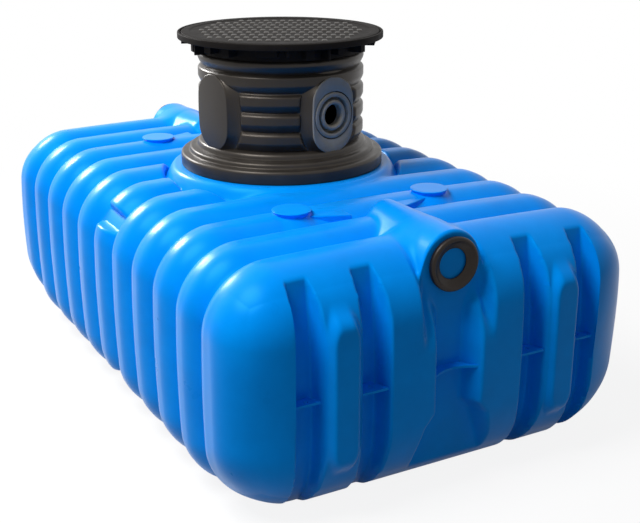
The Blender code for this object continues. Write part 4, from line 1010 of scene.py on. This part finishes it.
lid_profile += [(radius, TREAD_Z) for radius in (0.26, 0.18, 0.09, 0.0001)]
lid_disc = turned(lid_profile, LARGE_TURN_STEPS)

# %% Tread
bar_rings = (
    (BAR_LENGTH / 2, BAR_WIDTH / 2, TREAD_Z - 0.0002),
    (BAR_LENGTH / 2 - BAR_SLOPE * 0.6, BAR_WIDTH / 2 - 0.0012, TREAD_Z + 0.0016),
    (BAR_LENGTH / 2 - BAR_SLOPE, BAR_WIDTH / 2 - 0.0022, lid_high - 0.0001),
)
corner_signs = ((-1, -1), (1, -1), (1, 1), (-1, 1))
bar_points = np.array([(sx * hx, sy * hy, z) for hx, hy, z in bar_rings for sx, sy in corner_signs])
bar_faces = np.concatenate([grid_faces(3, 4, wrap=True), [[8, 9, 10, 11]]])
tread_turn = Matrix.Rotation(math.radians(TREAD_TURN), 4, "Z")
tread = []
for row in range(-TREAD_ROWS, TREAD_ROWS + 1):
    for column in range(-TREAD_COLUMNS, TREAD_COLUMNS + 1):
        x, y = BAR_PITCH * (column + (row % 2) / 2), ROW_PITCH * row
        if math.hypot(x, y) + BAR_LENGTH / 4 < TREAD_RADIUS:
            tread.append(moved((bar_points, bar_faces), tread_turn @ Matrix.Translation((x, y, 0.0))))
print("blocks in the tread:", len(tread))
lid = mesh_object("lid_disc", *lid_disc, lid_plastic_and_painted_shade)
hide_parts("lid")
# The blocks take the paler plastic: a painted highlight.
lid_tread = mesh_object("lid_tread", *joined(tread), tread_painted_highlight_plastic)
for piece in (lid, lid_tread):
    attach(piece, "lid")

# %% [markdown]
# ## Carried-over CAD parts
# What the CAD already has in its true shape, such as the webs in the flutes, stays and only gets its finish. The
# record names a material for each node.

# %% Finish of the CAD nodes
slot_finishes = {
    "blue_polyethylene": blue_plastic,
    "black_polyethylene": black_plastic,
    "black_rubber": seal_rubber,
}
for name, node in frame["nodes"].items():
    slot = next(part["material_slot"] for part in frame["record"]["subparts"] if part["node"] == name)
    node.data.materials.clear()
    node.data.materials.append(slot_finishes[slot])
print("CAD nodes with a finish:", len(frame["nodes"]))

# %% [markdown]
# ## Camera
# The camera stands where the photograph was taken: before the front end's left corner and above the lid, with a
# 63 mm lens.

# %% Camera
CAMERA_PLACE = Vector((-1.930, -3.808, 1.909))
CAMERA_YAW = 28.874
CAMERA_PITCH = -19.368
LENS_MM = 63.18

camera_data = bpy.data.cameras.new("camera")
camera_data.lens = LENS_MM
camera_data.sensor_width = 36.0
camera = bpy.data.objects.new("camera", camera_data)
camera.location = CAMERA_PLACE
camera.rotation_euler = (math.radians(90 + CAMERA_PITCH), 0.0, math.radians(-CAMERA_YAW))
bpy.context.scene.collection.objects.link(camera)
bpy.context.scene.camera = camera
print("camera at", [round(value, 3) for value in camera.location], "lens", LENS_MM, "mm")

# %% [markdown]
# ## Light
# The light is a plain studio: a broad soft lamp above the left side, a smaller and lower one behind the far left,
# which draws short highlights on the shoulders of the ribs, and a dim grey world. The world is white only for rays
# that show the background, so it lights nothing but gloss.


# %% Lamps
def area_lamp(name, place, target, size, watts):
    """A round white lamp that faces a target."""
    data = bpy.data.lights.new(name, "AREA")
    data.shape = "DISK"
    data.size = size
    data.energy = watts
    lamp = bpy.data.objects.new(name, data)
    lamp.location = place
    lamp.rotation_euler = (Vector(target) - Vector(place)).to_track_quat("-Z", "Y").to_euler()
    bpy.context.scene.collection.objects.link(lamp)
    print(f"{name}: {watts} W, {size} m wide")


TANK_MIDDLE = (0.0, 0.0, 0.5)
area_lamp("softbox_above_left", (-2.9, -0.7, 4.9), TANK_MIDDLE, 2.6, 265)
area_lamp("rim_light_behind", (-1.60, 4.00, 2.80), TANK_MIDDLE, 1.0, 180)

# %% World
world = bpy.data.worlds.new("studio")
bpy.context.scene.world = world
world.use_nodes = True
world_tree = world.node_tree
world_tree.nodes.clear()


def seen_directly(tree):
    """1 for rays that show the background: from the camera, off gloss and through glass."""
    path = add_node(tree, "ShaderNodeLightPath")
    gloss = add_node(
        tree, "ShaderNodeMath", {"operation": "MAXIMUM"}, i0=(path, "Is Camera Ray"), i1=(path, "Is Glossy Ray")
    )
    return add_node(tree, "ShaderNodeMath", {"operation": "MAXIMUM"}, i0=(gloss, 0), i1=(path, "Is Transmission Ray"))


seen = seen_directly(world_tree)
dim = add_node(world_tree, "ShaderNodeBackground", Color=colour("#FFFFFF"), Strength=0.20)
white = add_node(world_tree, "ShaderNodeBackground", Color=colour("#FFFFFF"), Strength=1.0)
shown = add_node(world_tree, "ShaderNodeMixShader", i0=(seen, 0), i1=(dim, 0), i2=(white, 0))
add_node(world_tree, "ShaderNodeOutputWorld", Surface=(shown, 0))
print("world:", world.name)

# %% [markdown]
# ## The floor
# The floor is pale grey board. Where a ray shows the background it is mixed with plain white, fully so some
# metres away, so that it runs into the background without an edge and still keeps the tank's soft shadow. Near the
# tank gloss shows less of that white than the camera does.

# %% Floor
FLOOR_HALF = 9.0
FLOOR_STEP = 3.0
FLOOR_Z = -0.0005
WHITE_FROM = 1.4
WHITE_AT = 3.6
floor_grid = spaced(-FLOOR_HALF, FLOOR_HALF, FLOOR_STEP)
floor_points = np.array([(x, y, FLOOR_Z) for y in floor_grid for x in floor_grid])
floor_material, floor_tree = new_material("pale_studio_floor")
floor_seen = seen_directly(floor_tree)
floor_path = add_node(floor_tree, "ShaderNodeLightPath")
floor_place = add_node(floor_tree, "ShaderNodeTexCoord")
floor_cloud = add_node(floor_tree, "ShaderNodeTexNoise", Vector=(floor_place, "Object"), Scale=0.8, Detail=2.0)
floor_board = add_node(floor_tree, "ShaderNodeMapRange", i0=(floor_cloud, "Fac"), i3=0.27, i4=0.30)
floor_pale = add_node(floor_tree, "ShaderNodeMapRange", i0=(floor_seen, 0), i3=(floor_board, 0), i4=0.95)
floor_colour = add_node(
    floor_tree, "ShaderNodeCombineColor", Red=(floor_pale, 0), Green=(floor_pale, 0), Blue=(floor_pale, 0)
)
floor_diffuse = add_node(floor_tree, "ShaderNodeBsdfDiffuse", Color=(floor_colour, 0))
floor_white = add_node(floor_tree, "ShaderNodeEmission", Color=colour("#FFFFFF"), Strength=1.0)
floor_away = add_node(floor_tree, "ShaderNodeVectorMath", {"operation": "LENGTH"}, i0=(floor_place, "Object"))
floor_near = add_node(floor_tree, "ShaderNodeMapRange", i0=(floor_path, "Is Camera Ray"), i3=0.25, i4=0.88)
floor_fade = add_node(
    floor_tree,
    "ShaderNodeMapRange",
    {"interpolation_type": "SMOOTHSTEP"},
    i0=(floor_away, "Value"),
    i1=WHITE_FROM,
    i2=WHITE_AT,
    i3=(floor_near, 0),
    i4=1.0,
)
floor_share = add_node(
    floor_tree, "ShaderNodeMath", {"operation": "MULTIPLY"}, i0=(floor_seen, 0), i1=(floor_fade, 0)
)
floor_mix = add_node(
    floor_tree, "ShaderNodeMixShader", i0=(floor_share, 0), i1=(floor_diffuse, 0), i2=(floor_white, 0)
)
add_node(floor_tree, "ShaderNodeOutputMaterial", Surface=(floor_mix, 0))
floor = mesh_object("studio_floor", floor_points, grid_faces(len(floor_grid), len(floor_grid)), floor_material)

# %% [markdown]
# ## Last lines
# The view transform stays plain.

# %% View settings
bpy.context.scene.view_settings.view_transform = "Standard"
